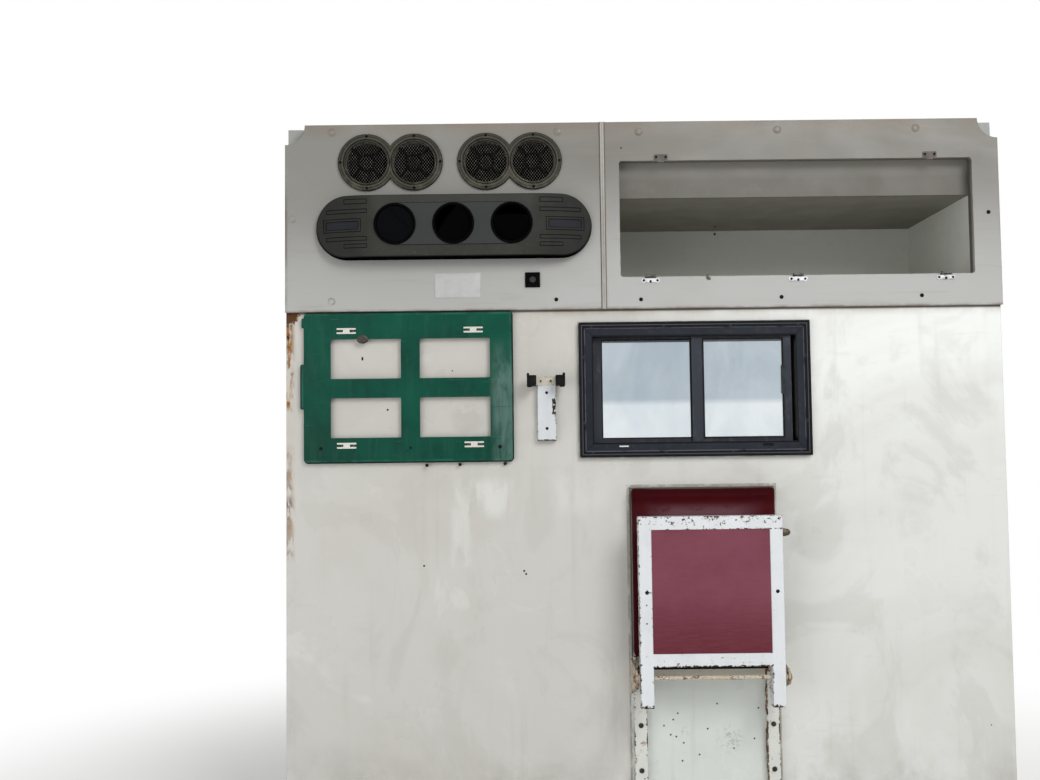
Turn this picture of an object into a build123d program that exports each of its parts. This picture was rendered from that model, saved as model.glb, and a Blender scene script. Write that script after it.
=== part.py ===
"""Front bulkhead of an ambulance's patient saloon, with the fittings that it carries.

Millimetres. X runs across the vehicle, +Y points to the cab and +Z up. The origin is the middle of the
sole's underside, in the mid-plane of the structural panel. The saloon side faces -Y.
"""

import os
from math import cos, radians, sin, tan

from build123d import *

os.makedirs("parts", exist_ok=True)

# Structural panel
width = 1870
height = 1850
panel_thickness = 30
cove_radius = 52
edge_radius = 4
opening_margin = 10
duct_margin = (80, 20)
return_margin = 6
duct_radius = 20
face_y = -panel_thickness / 2
rear_y = panel_thickness / 2

# Steel frame behind the panel
tube = 40
tube_wall = 2
tube_radius = 3
window_post_gaps = (17.5, 16.5)
window_sill_gap = 6
seat_rail_z = 430

# Sole and side flanges, with the holes that fix the bulkhead in the vehicle
sole_thickness = 4
sole_front = 35
sole_behind = 40
upstand_height = 40
upstand_thickness = 3
floor_bolt_spacing = 500
floor_bolt_radius = 5.5
floor_bolt_inset = 16
flange_thickness = 4
flange_depth = 60
flange_bottom = 60
flange_top = 1790
wall_bolt_spacing = 500
wall_bolt_count = 4
wall_bolt_radius = 4.5
wall_bolt_inset = 25
flange_tip_radius = 12

# Cover boards over the upper third
cover_thickness = 12
cover_bottom = 1357
cover_joint_x = -104
cover_gap = 2
cover_chamfer = 1.5
strip_width = 14
strip_thickness = 3
strip_chamfer = 1.2
strip_groove = (1.6, 2)
strip_web = (1.6, 8)

# Return-air grilles: two pairs of overlapping rings
grille_pair_x = (-658.5, -346.5)
grille_z = 1748.5
grille_spacing = 124
grille_radius = 75
grille_flange_inner = 61
grille_chamfer = 1.5
grille_ring_outer = 58.5
grille_bore = 54.5
grille_height = 7
grille_floor = 3
hub_radius = 23
hub_wall = 4
spoke_width = 5
spoke_count = 4
spoke_overlap = 2
grille_screw_circle = 68.5
grille_screw_radius = 4
mesh_radius = 60
mesh_thickness = 1.2
return_bore = 54

# Air outlet fascia, a long stadium whose ends fall back to the board
fascia_x = -493
fascia_z = 1572.5
fascia_length = 718
fascia_height = 164
fascia_depth = 45
fascia_end_depth = 12
fascia_flat = 190
fascia_edge = 5
plinth_inset = 8
plinth_depth = 5
outlet_spacing = 150.5
outlet_z = 1577.5
outlet_bezel = 54
outlet_barrel = 51
outlet_bore = 48
outlet_clearance = 0.5
bezel_height = 3
bezel_chamfer = 1
band_height = 108
band_relief = 1.2
groove_depth = 1.5
groove_width = 2.5

# Flaps in the outlets
chord_offset = 18
flap_clearance = 1.5
flap_thickness = 2
pin_radius = 1.5
pin_depth = 1

# Switch on the cover board
switch_x = -290
switch_z = 1435
switch_size = 39
switch_depth = 6
switch_bevel = 2
button_radius = 8
button_height = 4
button_seat = 2
button_chamfer = 1

# Evaporator behind the cover
evaporator_x = (-820, -160)
evaporator_depth = 300
evaporator_z = (1470, 1806)
blower_radius = 78
blower_length = 210
blower_drop = 10
blower_set_in = 25
case_top_slope = (130, 110)
case_bottom_slope = ((50, 30), 110, 60)
case_radius = 18
pipe_radii = (8, 5, 10)
pipe_heights = (1640, 1600, 1510)
pipe_y = (170, 170, 150)
pipe_wall = 1.5
pipe_length = 60
pipe_nut = (4, 8)

# Overhead locker
opening_x = (-60, 865)
opening_z = (1440, 1746)
opening_radius = 8
board = 9
locker_depth = 455
locker_ceiling_z = 1656
locker_floor_z = 1416
locker_right_x = 872
header_thickness = 12
ceiling_gap = 0.4
hinge_x = (17.5, 402.5, 788)
hinge_leaf = (30, 14, 3)
hinge_ear_radius = 6.5
hinge_ear_x = 18
hinge_drop = (8, 10)
knuckle_radius = 4
knuckle_length = 26
leaf_thickness = 2
catch_x = (50, 755)
catch_plate = (36, 14, 2)
catch_tongue = (18, 10, 2)
catch_rise = 9

# Sliding window
window_x = 128.5
window_z = 1146.5
window_width = 602
window_height = 351
window_lip = 14
window_face = 23
window_proud = 13
window_face_height = 8
window_radius = 5
window_rebate = 4
window_groove = (3, 2)
window_spigot_proud = 4
aperture_radius = 6
clamp_thickness = 6
clamp_inset = 4
window_clearance = 2
mullion_x = 137
mullion_width = 28
stile_width = 20
fixed_stile_width = 22
sash_gap_right = 11
sash_depth = 9
sash_rail = 7
track_gap = 2
glass_thickness = 4
glass_bite = 3
glass_rise = 2
glass_slack = 0.5
track_lip = 12
track_lip_thickness = 4
drain_spacing = 374
drain_height = 28.5
drain_slot = (28, 8)
drain_depth = 5
pull_z = (1131, 1206)
pull_width = 9
pull_proud = 4
pull_overlap = 2

# Equipment rack
rack_x = (-887, -343)
rack_top = 1355.5
rack_bottom = 963
rack_depth = 14
rack_wall = 3
rack_tab_rows = ((9, 1104, 1221), (6, 1316, 1341))
rack_window_x = (-725.5, -494.5)
rack_window_z = (1233.5, 1080.5)
rack_window_size = (182, 103)
rack_window_radius = 2
rack_clip_x = (-775.5, -446)
rack_clip_z = (1306.5, 1009)
rack_bolt_x = (-842, -610.5, -379.5)
rack_bolt_z = (1312, 1002)
rack_bolt_radius = 3
rack_boss_radius = 8
rack_radius = 12
rack_edge = 4
rack_pad = (-387, 1164, 76, 116)
rack_pad_radius = 3
rack_pad_relief = 1.5
rack_clip_size = (50, 15, 1.5)
rack_clip_slot = (17, 6.5)
rack_clip_slot_x = 17
rack_clip_thickness = 1.5
rack_clip_hole = (40, 7)

# Tool bracket with its spring clip
bracket_x = -257.5
bracket_z = (1016, 1180)
bracket_width = 48
bracket_depth = 18
bracket_hole_z = (1140, 1047.5)
bracket_hole_radius = 3
bracket_edge = 2.5
sheet = 2
clip_x = -259.5
clip_z = 1170
clip_height = 23
clip_strap = 1.5
clip_bend = 4
clip_span = 74
clip_arm = 28
rivet_spacing = 26
rivet_radius = 3
rivet_height = 1.5
jaw_width = 24
jaw_height = 27
jaw_depth = 34
jaw_scallop = 27
jaw_radius = 4

# Tip-up seat
seat_x = 140
backplate_width = 380
backplate_z = (60, 895)
backplate_thickness = 4
backplate_radius = 6
rail_width = 33
rail_depth = 20
rail_wall = 2
rail_radius = 2
rail_span = 370
rail_top = 462
cushion_z = (466, 890)
cushion_width = 368
back_cushion_thickness = 43
back_cushion_radii = (36, 30)
cross_rail_z = (410, 440)
pivot_y = -129
pivot_z = 427
rod_radius = 5.5
rod_clearance = 0.1
spacer_radius = 11
washer = (13, 2)
rod_head = (9, 4)
rod_head_bevel = 2.4
lug_thickness = 5
lug_nose = 19
lug_z = (366, 455)
stop_length = 35
seat_tube = 32
seat_tube_wall = 2
seat_tube_edge = 2.5
seat_frame_width = 357
leg_below = 71
leg_above = 397
cross_bottom = 29
corner_weld = 5
seat_board_thickness = 12
seat_board_recess = 2
seat_cushion_width = 346
seat_cushion_span = (50, 388)
seat_cushion_thickness = 44
seat_cushion_radii = (20, 12)
fit_gap = 0.3
strap_hole_z = 211
strap_hole_radius = 4.8
strap_hole_inset = 3
strap_slot = (16, 2.5)
strap_slot_offset = 11
strap_slot_depth = 3
stud_z = 354.5
stud_nut = (9.5, 10)
stud_radius = 8.5
stud_dome = ((5, 0), (4, 25), (3, 55))
through = 10


def front(y):
    """The plane at that Y, seen from the saloon: local x is X, local y is Z, and it faces -Y."""
    return Plane.XZ.offset(-y)


def save(piece, name):
    """Labels a finished piece and writes it as its own STEP file."""
    piece.part.label = name
    export_step(piece.part, f"parts/{name}.step")


def middle(pair):
    return (pair[0] + pair[1]) / 2


def span(pair):
    return abs(pair[1] - pair[0])


cover_face_y = face_y - cover_thickness
window_aperture = [size - 2 * window_lip - window_rebate for size in (window_width, window_height)]

# Structural panel, with its window, locker and air apertures and the corners that clear the ceiling coves
with BuildPart() as bulkhead_panel:
    with BuildSketch(front(rear_y)):
        with Locations((0, (height + sole_thickness) / 2)):
            Rectangle(width, height - sole_thickness)
        with Locations((-width / 2, height), (width / 2, height)):
            Circle(cove_radius, mode=Mode.SUBTRACT)
        with Locations((window_x, window_z)):
            RectangleRounded(*window_aperture, aperture_radius, mode=Mode.SUBTRACT)
        with Locations((middle(opening_x), middle(opening_z))):
            RectangleRounded(span(opening_x) + opening_margin, span(opening_z) + opening_margin, opening_radius,
                             mode=Mode.SUBTRACT)
        with Locations((middle(evaporator_x), outlet_z)):
            RectangleRounded(span(evaporator_x) - duct_margin[0], 2 * outlet_barrel + duct_margin[1], duct_radius,
                             mode=Mode.SUBTRACT)
        with Locations((middle(grille_pair_x), grille_z)):
            RectangleRounded(span(grille_pair_x) + grille_spacing + 2 * return_bore,
                             2 * return_bore + return_margin, duct_radius, mode=Mode.SUBTRACT)
    extrude(amount=panel_thickness)
    outer = bulkhead_panel.edges().filter_by(Axis.Z).group_by(Axis.Y)[0]
    fillet(outer.sort_by(Axis.X)[0], edge_radius)
    fillet(bulkhead_panel.edges().filter_by(Axis.Z).group_by(Axis.Y)[0].sort_by(Axis.X)[-1], edge_radius)
save(bulkhead_panel, "bulkhead_panel")

# Steel frame: upright tubes beside the window and under the cover boards' joint, open at both ends
post_left_x = window_x - window_width / 2 - window_post_gaps[0] - tube / 2
post_right_x = window_x + window_width / 2 + window_post_gaps[1] + tube / 2
upper_post_x = cover_joint_x
mid_rail_z = locker_floor_z - tube / 2
sill_rail_z = window_z - window_height / 2 - window_sill_gap - tube / 2
post_rows = [  # centre x, bottom z, top z
    (-(width - tube) / 2, sole_thickness, height),
    ((width - tube) / 2, sole_thickness, height),
    (post_left_x, sole_thickness, mid_rail_z - tube / 2),
    (post_right_x, sole_thickness, mid_rail_z - tube / 2),
    (upper_post_x, mid_rail_z + tube / 2, height - tube),
]
with BuildPart() as frame_posts:
    for x, low, high in post_rows:
        with BuildSketch(Plane.XY.offset(low)):
            with Locations((x, rear_y + tube / 2)):
                RectangleRounded(tube, tube, tube_radius)
                Rectangle(tube - 2 * tube_wall, tube - 2 * tube_wall, mode=Mode.SUBTRACT)
        extrude(amount=high - low)
save(frame_posts, "frame_posts")

# Steel frame: level tubes between the posts
end_x = width / 2 - tube
bays = [  # left x, right x
    (-end_x, post_left_x - tube / 2),
    (post_left_x + tube / 2, post_right_x - tube / 2),
    (post_right_x + tube / 2, end_x),
]
rail_rows = [(left, right, z) for z in (sole_thickness + tube / 2, sill_rail_z) for left, right in bays]
rail_rows += [(*bays[1], seat_rail_z), (-end_x, end_x, mid_rail_z), (-end_x, end_x, height - tube / 2)]
with BuildPart() as frame_rails:
    for left, right, z in rail_rows:
        with BuildSketch(Plane.YZ.offset(left)):
            with Locations((rear_y + tube / 2, z)):
                RectangleRounded(tube, tube, tube_radius)
                Rectangle(tube - 2 * tube_wall, tube - 2 * tube_wall, mode=Mode.SUBTRACT)
        extrude(amount=right - left)
save(frame_rails, "frame_rails")

# Sole: one folded length that the panel and frame stand in, bolted to the floor in front and behind
frame_rear_y = rear_y + tube
sole_y = (face_y - sole_front, frame_rear_y + sole_behind)
floor_bolt_y = (sole_y[0] + floor_bolt_inset, sole_y[1] - floor_bolt_inset)
with BuildPart() as floor_channel:
    with BuildSketch(Plane.YZ.offset(-width / 2)):
        with Locations((middle(sole_y), sole_thickness / 2)):
            Rectangle(span(sole_y), sole_thickness)
        for y in (face_y - upstand_thickness / 2, frame_rear_y + upstand_thickness / 2):
            with Locations((y, sole_thickness + upstand_height / 2)):
                Rectangle(upstand_thickness, upstand_height)
    extrude(amount=width)
    for y in floor_bolt_y:
        with Locations(Plane.XY.offset(sole_thickness)):
            with Locations((0, y)), GridLocations(floor_bolt_spacing, 0, 4, 1):
                Hole(floor_bolt_radius, depth=sole_thickness)
save(floor_channel, "floor_channel")

# Side flanges: an angle down each edge, bolted to the saloon's side walls
with BuildPart() as side_flanges:
    for side in (-1, 1):
        with BuildSketch(Plane.XY.offset(flange_bottom)):
            with Locations((side * (width - flange_thickness) / 2, frame_rear_y + flange_depth / 2)):
                Rectangle(flange_thickness, flange_depth)
            with Locations((side * (width - tube) / 2, frame_rear_y + flange_thickness / 2)):
                Rectangle(tube, flange_thickness)
        extrude(amount=flange_top - flange_bottom)
    wall_bolt_y = frame_rear_y + flange_depth - wall_bolt_inset
    wall_bolt_z = middle((flange_bottom, flange_top))
    with Locations(Plane.YZ):
        with Locations((wall_bolt_y, wall_bolt_z)), GridLocations(0, wall_bolt_spacing, 1, wall_bolt_count):
            Cylinder(wall_bolt_radius, width + through, mode=Mode.SUBTRACT)
    tips = side_flanges.edges().filter_by(Axis.X).group_by(Axis.Y)[-1]
    fillet(tips, flange_tip_radius)
save(side_flanges, "side_flanges")

# Cover board over the air unit
outlet_x = [fascia_x + n * outlet_spacing for n in (-1, 0, 1)]
ring_x = [x + side * grille_spacing / 2 for x in grille_pair_x for side in (-1, 1)]
with BuildPart() as ac_cover_panel:
    left, right = -width / 2, cover_joint_x - cover_gap / 2
    with BuildSketch(front(face_y)):
        with Locations(((left + right) / 2, (cover_bottom + height) / 2)):
            Rectangle(right - left, height - cover_bottom)
        with Locations((left, height)):
            Circle(cove_radius, mode=Mode.SUBTRACT)
        with Locations(*[(x, outlet_z) for x in outlet_x]):
            Circle(outlet_barrel + outlet_clearance, mode=Mode.SUBTRACT)
        with Locations(*[(x, grille_z) for x in ring_x]):
            Circle(return_bore, mode=Mode.SUBTRACT)
    extrude(amount=cover_thickness)
    chamfer(ac_cover_panel.edges().filter_by(Axis.X).group_by(Axis.Y)[0].sort_by(Axis.Z)[0], cover_chamfer)
save(ac_cover_panel, "ac_cover_panel")

# Cover board of the overhead locker
with BuildPart() as locker_cover_panel:
    left, right = cover_joint_x + cover_gap / 2, width / 2
    with BuildSketch(front(face_y)):
        with Locations(((left + right) / 2, (cover_bottom + height) / 2)):
            Rectangle(right - left, height - cover_bottom)
        with Locations((right, height)):
            Circle(cove_radius, mode=Mode.SUBTRACT)
        with Locations((middle(opening_x), middle(opening_z))):
            RectangleRounded(span(opening_x), span(opening_z), opening_radius, mode=Mode.SUBTRACT)
    extrude(amount=cover_thickness)
    chamfer(locker_cover_panel.edges().filter_by(Axis.X).group_by(Axis.Y)[0].sort_by(Axis.Z)[0], cover_chamfer)
save(locker_cover_panel, "locker_cover_panel")

# Joint strip: a tee whose web drops between the two boards
with BuildPart() as joint_strip:
    with BuildSketch(Plane.XY.offset(cover_bottom)):
        with Locations((cover_joint_x, cover_face_y - strip_thickness / 2)):
            Rectangle(strip_width, strip_thickness)
        with Locations((cover_joint_x, cover_face_y - strip_thickness)):
            Rectangle(*strip_groove, mode=Mode.SUBTRACT)
        with Locations((cover_joint_x, cover_face_y + strip_web[1] / 2)):
            Rectangle(*strip_web)
    extrude(amount=height - cover_bottom)
    for side in (0, -1):
        rim = joint_strip.edges().filter_by(Axis.Z).group_by(Axis.X)[side].sort_by(Axis.Y)[0]
        chamfer(rim, strip_chamfer)
save(joint_strip, "joint_strip")

# Return-air grilles: a figure-of-eight flange, with a ring, a hub and four diagonal spokes in each circle
for name, pair_x in zip(("grille_left", "grille_right"), grille_pair_x):
    centres = [(pair_x + side * grille_spacing / 2, grille_z) for side in (-1, 1)]
    with BuildPart() as grille:
        with BuildSketch(front(cover_face_y)):
            with Locations(*centres):
                Circle(grille_radius)
        extrude(amount=grille_height - grille_chamfer)
        with Locations(*[(x, cover_face_y - grille_height + grille_chamfer / 2, z) for x, z in centres]):
            Cone(grille_radius, grille_radius - grille_chamfer, grille_chamfer, rotation=(90, 0, 0))
        with BuildSketch(front(cover_face_y - grille_floor)):
            with Locations(*centres):
                Circle(grille_flange_inner)
            with Locations(*centres):
                Circle(grille_ring_outer, mode=Mode.SUBTRACT)
        extrude(amount=grille_height, mode=Mode.SUBTRACT)
        with BuildSketch(front(cover_face_y)):
            with Locations(*centres):
                Circle(grille_bore)
        extrude(amount=2 * grille_height, mode=Mode.SUBTRACT)
        with BuildSketch(front(cover_face_y - mesh_thickness)):
            with Locations(*centres):
                Circle(hub_radius)
                Circle(hub_radius - hub_wall, mode=Mode.SUBTRACT)
                spoke = (hub_radius - hub_wall, grille_bore + spoke_overlap)
                with PolarLocations(middle(spoke), spoke_count, start_angle=45):
                    Rectangle(span(spoke), spoke_width)
        extrude(amount=grille_floor)
        with BuildSketch(front(cover_face_y)):
            with Locations(*centres):
                Circle(mesh_radius + fit_gap)
        extrude(amount=mesh_thickness, mode=Mode.SUBTRACT)
        with BuildSketch(front(cover_face_y - grille_floor)):
            for (x, z), angles in zip(centres, ((90, 180, 270), (90, 0, 270))):
                with Locations((x, z)):
                    for angle in angles:
                        with PolarLocations(grille_screw_circle, 1, start_angle=angle):
                            Circle(grille_screw_radius)
        extrude(amount=grille_height, mode=Mode.SUBTRACT)
    save(grille, name)

# Grille mesh: one disc behind each ring
with BuildPart() as grille_mesh:
    with BuildSketch(front(cover_face_y)):
        with Locations(*[(x, grille_z) for x in ring_x]):
            Circle(mesh_radius)
    extrude(amount=mesh_thickness)
save(grille_mesh, "grille_mesh")


def fascia_block(relief, inset=0):
    """The stadium, its face raised by relief: flat in the middle and falling back at both ends."""
    with BuildPart() as block:
        with BuildSketch(front(cover_face_y)):
            with Locations((fascia_x, fascia_z)):
                SlotOverall(fascia_length - 2 * inset, fascia_height - 2 * inset)
        extrude(amount=fascia_depth + relief)
        face = cover_face_y - fascia_depth - relief
        end_face = cover_face_y - fascia_end_depth - relief
        with BuildSketch(Plane.XY.offset(fascia_z - fascia_height)):
            with BuildLine():
                half = fascia_length / 2
                Line((fascia_x - fascia_flat, face), (fascia_x + fascia_flat, face))
                Line((fascia_x + half, end_face), (fascia_x + half, cover_face_y))
                Line((fascia_x + half, cover_face_y), (fascia_x - half, cover_face_y))
                Line((fascia_x - half, cover_face_y), (fascia_x - half, end_face))
                for side in (-1, 1):
                    TangentArc((fascia_x + side * fascia_flat, face), (fascia_x + side * half, end_face),
                               tangent=(side, 0))
            make_face()
        extrude(amount=2 * fascia_height, mode=Mode.INTERSECT)
    return block.part


# Air outlet fascia: raised band, engraved rib loops and bare label recesses on a set-back plinth
fascia_loops = [  # inner end and outer end from the middle, height from the middle, loop height
    (222, 284, 65, 14),
    (222, 331, 40, 12),
    (238, 339, 3.5, 36),
    (222, 331, -31.5, 12),
    (222, 284, -50.5, 12),
]
label_recess = (88, 23)
with BuildPart() as vent_fascia:
    add(fascia_block(0))
    rim = vent_fascia.edges().filter_by(lambda e: e.center().Y < cover_face_y - fascia_end_depth + 1)
    fillet(rim, fascia_edge)
    with BuildSketch(front(cover_face_y)):
        with Locations((fascia_x, outlet_z)):
            Rectangle(2 * outlet_spacing, band_height)
    extrude(amount=fascia_depth + band_relief)
    with BuildPart(mode=Mode.PRIVATE) as grooves:
        with BuildSketch(front(cover_face_y)):
            for side in (-1, 1):
                for inner, outer, level, loop in fascia_loops:
                    with Locations((fascia_x + side * (inner + outer) / 2, fascia_z + level)):
                        Rectangle(outer - inner, loop)
                        Rectangle(outer - inner - 2 * groove_width, loop - 2 * groove_width, mode=Mode.SUBTRACT)
                inner, outer, level, loop = fascia_loops[2]
                with Locations((fascia_x + side * (inner + outer) / 2, fascia_z + level)):
                    Rectangle(*label_recess)
        extrude(amount=fascia_depth + through)
        add(fascia_block(-groove_depth), mode=Mode.SUBTRACT)
    add(grooves.part, mode=Mode.SUBTRACT)
    with BuildSketch(front(cover_face_y)):
        with Locations((fascia_x, fascia_z)):
            SlotOverall(fascia_length + 2 * through, fascia_height + 2 * through)
            SlotOverall(fascia_length - 2 * plinth_inset, fascia_height - 2 * plinth_inset, mode=Mode.SUBTRACT)
    extrude(amount=plinth_depth, mode=Mode.SUBTRACT)
    with Locations(*[(x, cover_face_y, outlet_z) for x in outlet_x]):
        Cylinder(outlet_barrel + outlet_clearance, 4 * fascia_depth, rotation=(90, 0, 0), mode=Mode.SUBTRACT)
save(vent_fascia, "vent_fascia")

# Air outlets: a bezel on the fascia and a barrel that runs back to the air unit
bezel_y = cover_face_y - fascia_depth - band_relief
with BuildPart() as air_outlets:
    with BuildSketch(front(rear_y)):
        with Locations(*[(x, outlet_z) for x in outlet_x]):
            Circle(outlet_barrel)
            Circle(outlet_bore, mode=Mode.SUBTRACT)
    extrude(amount=rear_y - bezel_y)
    with BuildSketch(front(bezel_y)):
        with Locations(*[(x, outlet_z) for x in outlet_x]):
            Circle(outlet_bezel)
            Circle(outlet_bore, mode=Mode.SUBTRACT)
    extrude(amount=bezel_height)
    chamfer(air_outlets.edges().group_by(Axis.Y)[0], bezel_chamfer)
save(air_outlets, "air_outlets")

# Outlet flaps: a disc cut along a chord, whose two leaves swing back from a pin on the chord
flap_rows = [  # centre x, direction from the centre to the chord, opening of the small leaf, of the large leaf
    (outlet_x[0], 48, 0, 0),
    (outlet_x[1], 145, 62, 8),
    (outlet_x[2], 90, 66, 14),
]
flap_radius = outlet_bore - flap_clearance
pin_y = bezel_y + pin_depth
with BuildPart() as outlet_flaps:
    for x, direction, small_opening, large_opening in flap_rows:
        out = Vector(cos(radians(direction)), 0, sin(radians(direction)))
        hinge = Plane(origin=Vector(x, pin_y, outlet_z) + out * chord_offset, x_dir=out, z_dir=(0, -1, 0))
        for side, opening in ((1, small_opening), (-1, large_opening)):
            leaf = Plane(hinge.location * Location((0, 0, 0), (0, side * opening, 0)))
            with BuildSketch(leaf):
                with Locations((-chord_offset, 0)):
                    Circle(flap_radius)
                with Locations((-side * 2 * flap_radius, 0)):
                    Rectangle(4 * flap_radius, 4 * flap_radius, mode=Mode.SUBTRACT)
            extrude(amount=-flap_thickness)
        with BuildSketch(Plane(origin=hinge.origin, x_dir=out, z_dir=hinge.y_dir)):
            Circle(pin_radius)
        extrude(amount=(outlet_bore**2 - (chord_offset + pin_radius) ** 2) ** 0.5 - fit_gap, both=True)
save(outlet_flaps, "outlet_flaps")

# Evaporator behind the cover: a moulded case with two blower drums, open behind the grilles
with BuildPart() as evaporator_case:
    low, high = evaporator_z
    far = rear_y + evaporator_depth
    with BuildSketch(Plane.YZ.offset(evaporator_x[0])):
        with BuildLine():
            heel, waist, toe = case_bottom_slope
            Polyline((rear_y, low), (rear_y, high), (far - case_top_slope[0], high), (far, high - case_top_slope[1]),
                     (far, low + waist), (far - heel[0], low + heel[1]), (rear_y + toe, low), close=True)
        make_face()
        fillet(vertices().sort_by(Axis.X)[2:], case_radius)
    extrude(amount=span(evaporator_x))
    for side in (-1, 1):
        with BuildSketch(Plane.YZ.offset(middle(evaporator_x) + side * span(evaporator_x) / 4 - blower_length / 2)):
            with Locations((far - blower_set_in, middle(evaporator_z) - blower_drop)):
                Circle(blower_radius)
        extrude(amount=blower_length)
save(evaporator_case, "evaporator_case")

# Evaporator pipes: suction, liquid and drain stubs out of the left end
with BuildPart() as evaporator_pipes:
    for radius, z, y in zip(pipe_radii, pipe_heights, pipe_y):
        for outer, length in ((radius, pipe_length), (radius + pipe_nut[0], pipe_nut[1])):
            with BuildSketch(Plane.YZ.offset(evaporator_x[0])):
                with Locations((y, z)):
                    Circle(outer)
                    Circle(radius - pipe_wall, mode=Mode.SUBTRACT)
            extrude(amount=-length)
save(evaporator_pipes, "evaporator_pipes")

# Switch on the cover board
with BuildPart() as ac_switch:
    with BuildSketch(front(cover_face_y)):
        with Locations((switch_x, switch_z)):
            RectangleRounded(switch_size, switch_size, switch_bevel)
    extrude(amount=switch_depth)
    chamfer(ac_switch.edges().group_by(Axis.Y)[0], switch_bevel)
    with BuildSketch(front(cover_face_y - switch_depth + button_seat)):
        with Locations((switch_x, switch_z)):
            Circle(button_radius + fit_gap)
    extrude(amount=switch_depth, mode=Mode.SUBTRACT)
save(ac_switch, "ac_switch")

with BuildPart() as switch_button:
    with BuildSketch(front(cover_face_y - switch_depth + button_seat)):
        with Locations((switch_x, switch_z)):
            Circle(button_radius)
    extrude(amount=button_height)
    chamfer(switch_button.edges().group_by(Axis.Y)[0], button_chamfer)
save(switch_button, "switch_button")

# Overhead locker: floor, ceiling, ends, back and the header board behind the opening's top
locker_left_x = upper_post_x + tube / 2
locker_back_y = rear_y + locker_depth
locker_z = (locker_floor_z + board, locker_ceiling_z)
board_rows = {  # x low and high, y low and high, z low and high
    "locker_floor": [((locker_left_x, locker_right_x + board), (rear_y, locker_back_y + board),
                      (locker_floor_z, locker_z[0]))],
    "locker_ceiling": [((locker_left_x, locker_right_x + board),
                        (rear_y + header_thickness, locker_back_y + board), (locker_z[1], locker_z[1] + board))],
    "locker_ends": [((x, x + board), (rear_y, locker_back_y + board), locker_z)
                    for x in (locker_left_x, locker_right_x)],
    "locker_back": [((locker_left_x + board, locker_right_x), (locker_back_y, locker_back_y + board), locker_z)],
    "locker_header": [((locker_left_x, end_x), (rear_y, rear_y + header_thickness),
                       (locker_ceiling_z, height - tube))],
}
for name, rows in board_rows.items():
    with BuildPart() as locker_board:
        for xs, ys, zs in rows:
            with BuildSketch(Plane.XY.offset(zs[0])):
                with Locations((middle(xs), middle(ys))):
                    Rectangle(span(xs), span(ys))
            extrude(amount=span(zs))
        if name == "locker_ends":
            with BuildSketch(front(rear_y + header_thickness)):
                with Locations(*[(x + board / 2, locker_ceiling_z) for x in (locker_left_x, locker_right_x)]):
                    Rectangle(board, ceiling_gap)
            extrude(amount=header_thickness, mode=Mode.SUBTRACT)
    save(locker_board, name)

# Hinge leaves left on the locker's sill where its flap was, and the catches above
with BuildPart() as locker_hinges:
    for x in hinge_x:
        with BuildSketch(front(cover_face_y)):
            with Locations((x, opening_z[0] - hinge_drop[0])):
                RectangleRounded(*hinge_leaf)
            with Locations((x, opening_z[0] - hinge_drop[1])), GridLocations(2 * hinge_ear_x, 0, 2, 1):
                Circle(hinge_ear_radius)
        extrude(amount=leaf_thickness)
        with BuildSketch(Plane.YZ.offset(x - knuckle_length / 2)):
            with Locations((cover_face_y - knuckle_radius, opening_z[0] + 1)):
                Circle(knuckle_radius)
        extrude(amount=knuckle_length)
save(locker_hinges, "locker_hinges")

with BuildPart() as locker_catches:
    for x in catch_x:
        with BuildSketch(front(cover_face_y)):
            with Locations((x, opening_z[1] + catch_rise)):
                RectangleRounded(*catch_plate)
            with Locations((x, opening_z[1])):
                RectangleRounded(*catch_tongue)
        extrude(amount=leaf_thickness)
save(locker_catches, "locker_catches")

# Window frame: a proud lip, a flat face inside it and a spigot through the panel
frame_inner = (window_width - 2 * (window_lip + window_face), window_height - 2 * (window_lip + window_face + 1))
spigot = [size - 2 * window_clearance for size in window_aperture]
with BuildPart() as window_frame:
    with BuildSketch(front(face_y)):
        with Locations((window_x, window_z)):
            RectangleRounded(window_width, window_height, window_radius)
            Rectangle(*frame_inner, mode=Mode.SUBTRACT)
    extrude(amount=window_face_height)
    with BuildSketch(front(face_y - window_face_height)):
        with Locations((window_x, window_z)):
            RectangleRounded(window_width, window_height, window_radius)
            Rectangle(window_width - 2 * window_lip, window_height - 2 * window_lip, mode=Mode.SUBTRACT)
    extrude(amount=window_proud - window_face_height)
    groove = (window_width - window_lip, window_height - window_lip)
    with BuildSketch(front(face_y - window_proud + window_groove[1])):
        with Locations((window_x, window_z)):
            Rectangle(groove[0] + window_groove[0], groove[1] + window_groove[0])
            Rectangle(*groove, mode=Mode.SUBTRACT)
    extrude(amount=window_proud, mode=Mode.SUBTRACT)
    with BuildSketch(front(rear_y + window_spigot_proud)):
        with Locations((window_x, window_z)):
            Rectangle(*spigot)
            Rectangle(*frame_inner, mode=Mode.SUBTRACT)
    extrude(amount=panel_thickness + window_spigot_proud)
    with BuildSketch(front(rear_y + window_spigot_proud)):
        with Locations((window_x, window_z)):
            Rectangle(*frame_inner)
            Rectangle(frame_inner[0] - 2 * track_lip, frame_inner[1] - 2 * track_lip, mode=Mode.SUBTRACT)
    extrude(amount=track_lip_thickness)
    with BuildSketch(front(face_y - window_face_height)):
        with Locations((window_x, window_z - window_height / 2 + drain_height)):
            with GridLocations(drain_spacing, 0, 2, 1):
                SlotOverall(*drain_slot)
    extrude(amount=-drain_depth, mode=Mode.SUBTRACT)
save(window_frame, "window_frame")

# Clamp ring on the cab side of the window
with BuildPart() as window_clamp_ring:
    with BuildSketch(front(rear_y + clamp_thickness)):
        with Locations((window_x, window_z)):
            RectangleRounded(window_width - clamp_inset, window_height - clamp_inset, window_radius)
            Rectangle(spigot[0] + 2 * fit_gap, spigot[1] + 2 * fit_gap, mode=Mode.SUBTRACT)
    extrude(amount=clamp_thickness)
save(window_clamp_ring, "window_clamp_ring")

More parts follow.
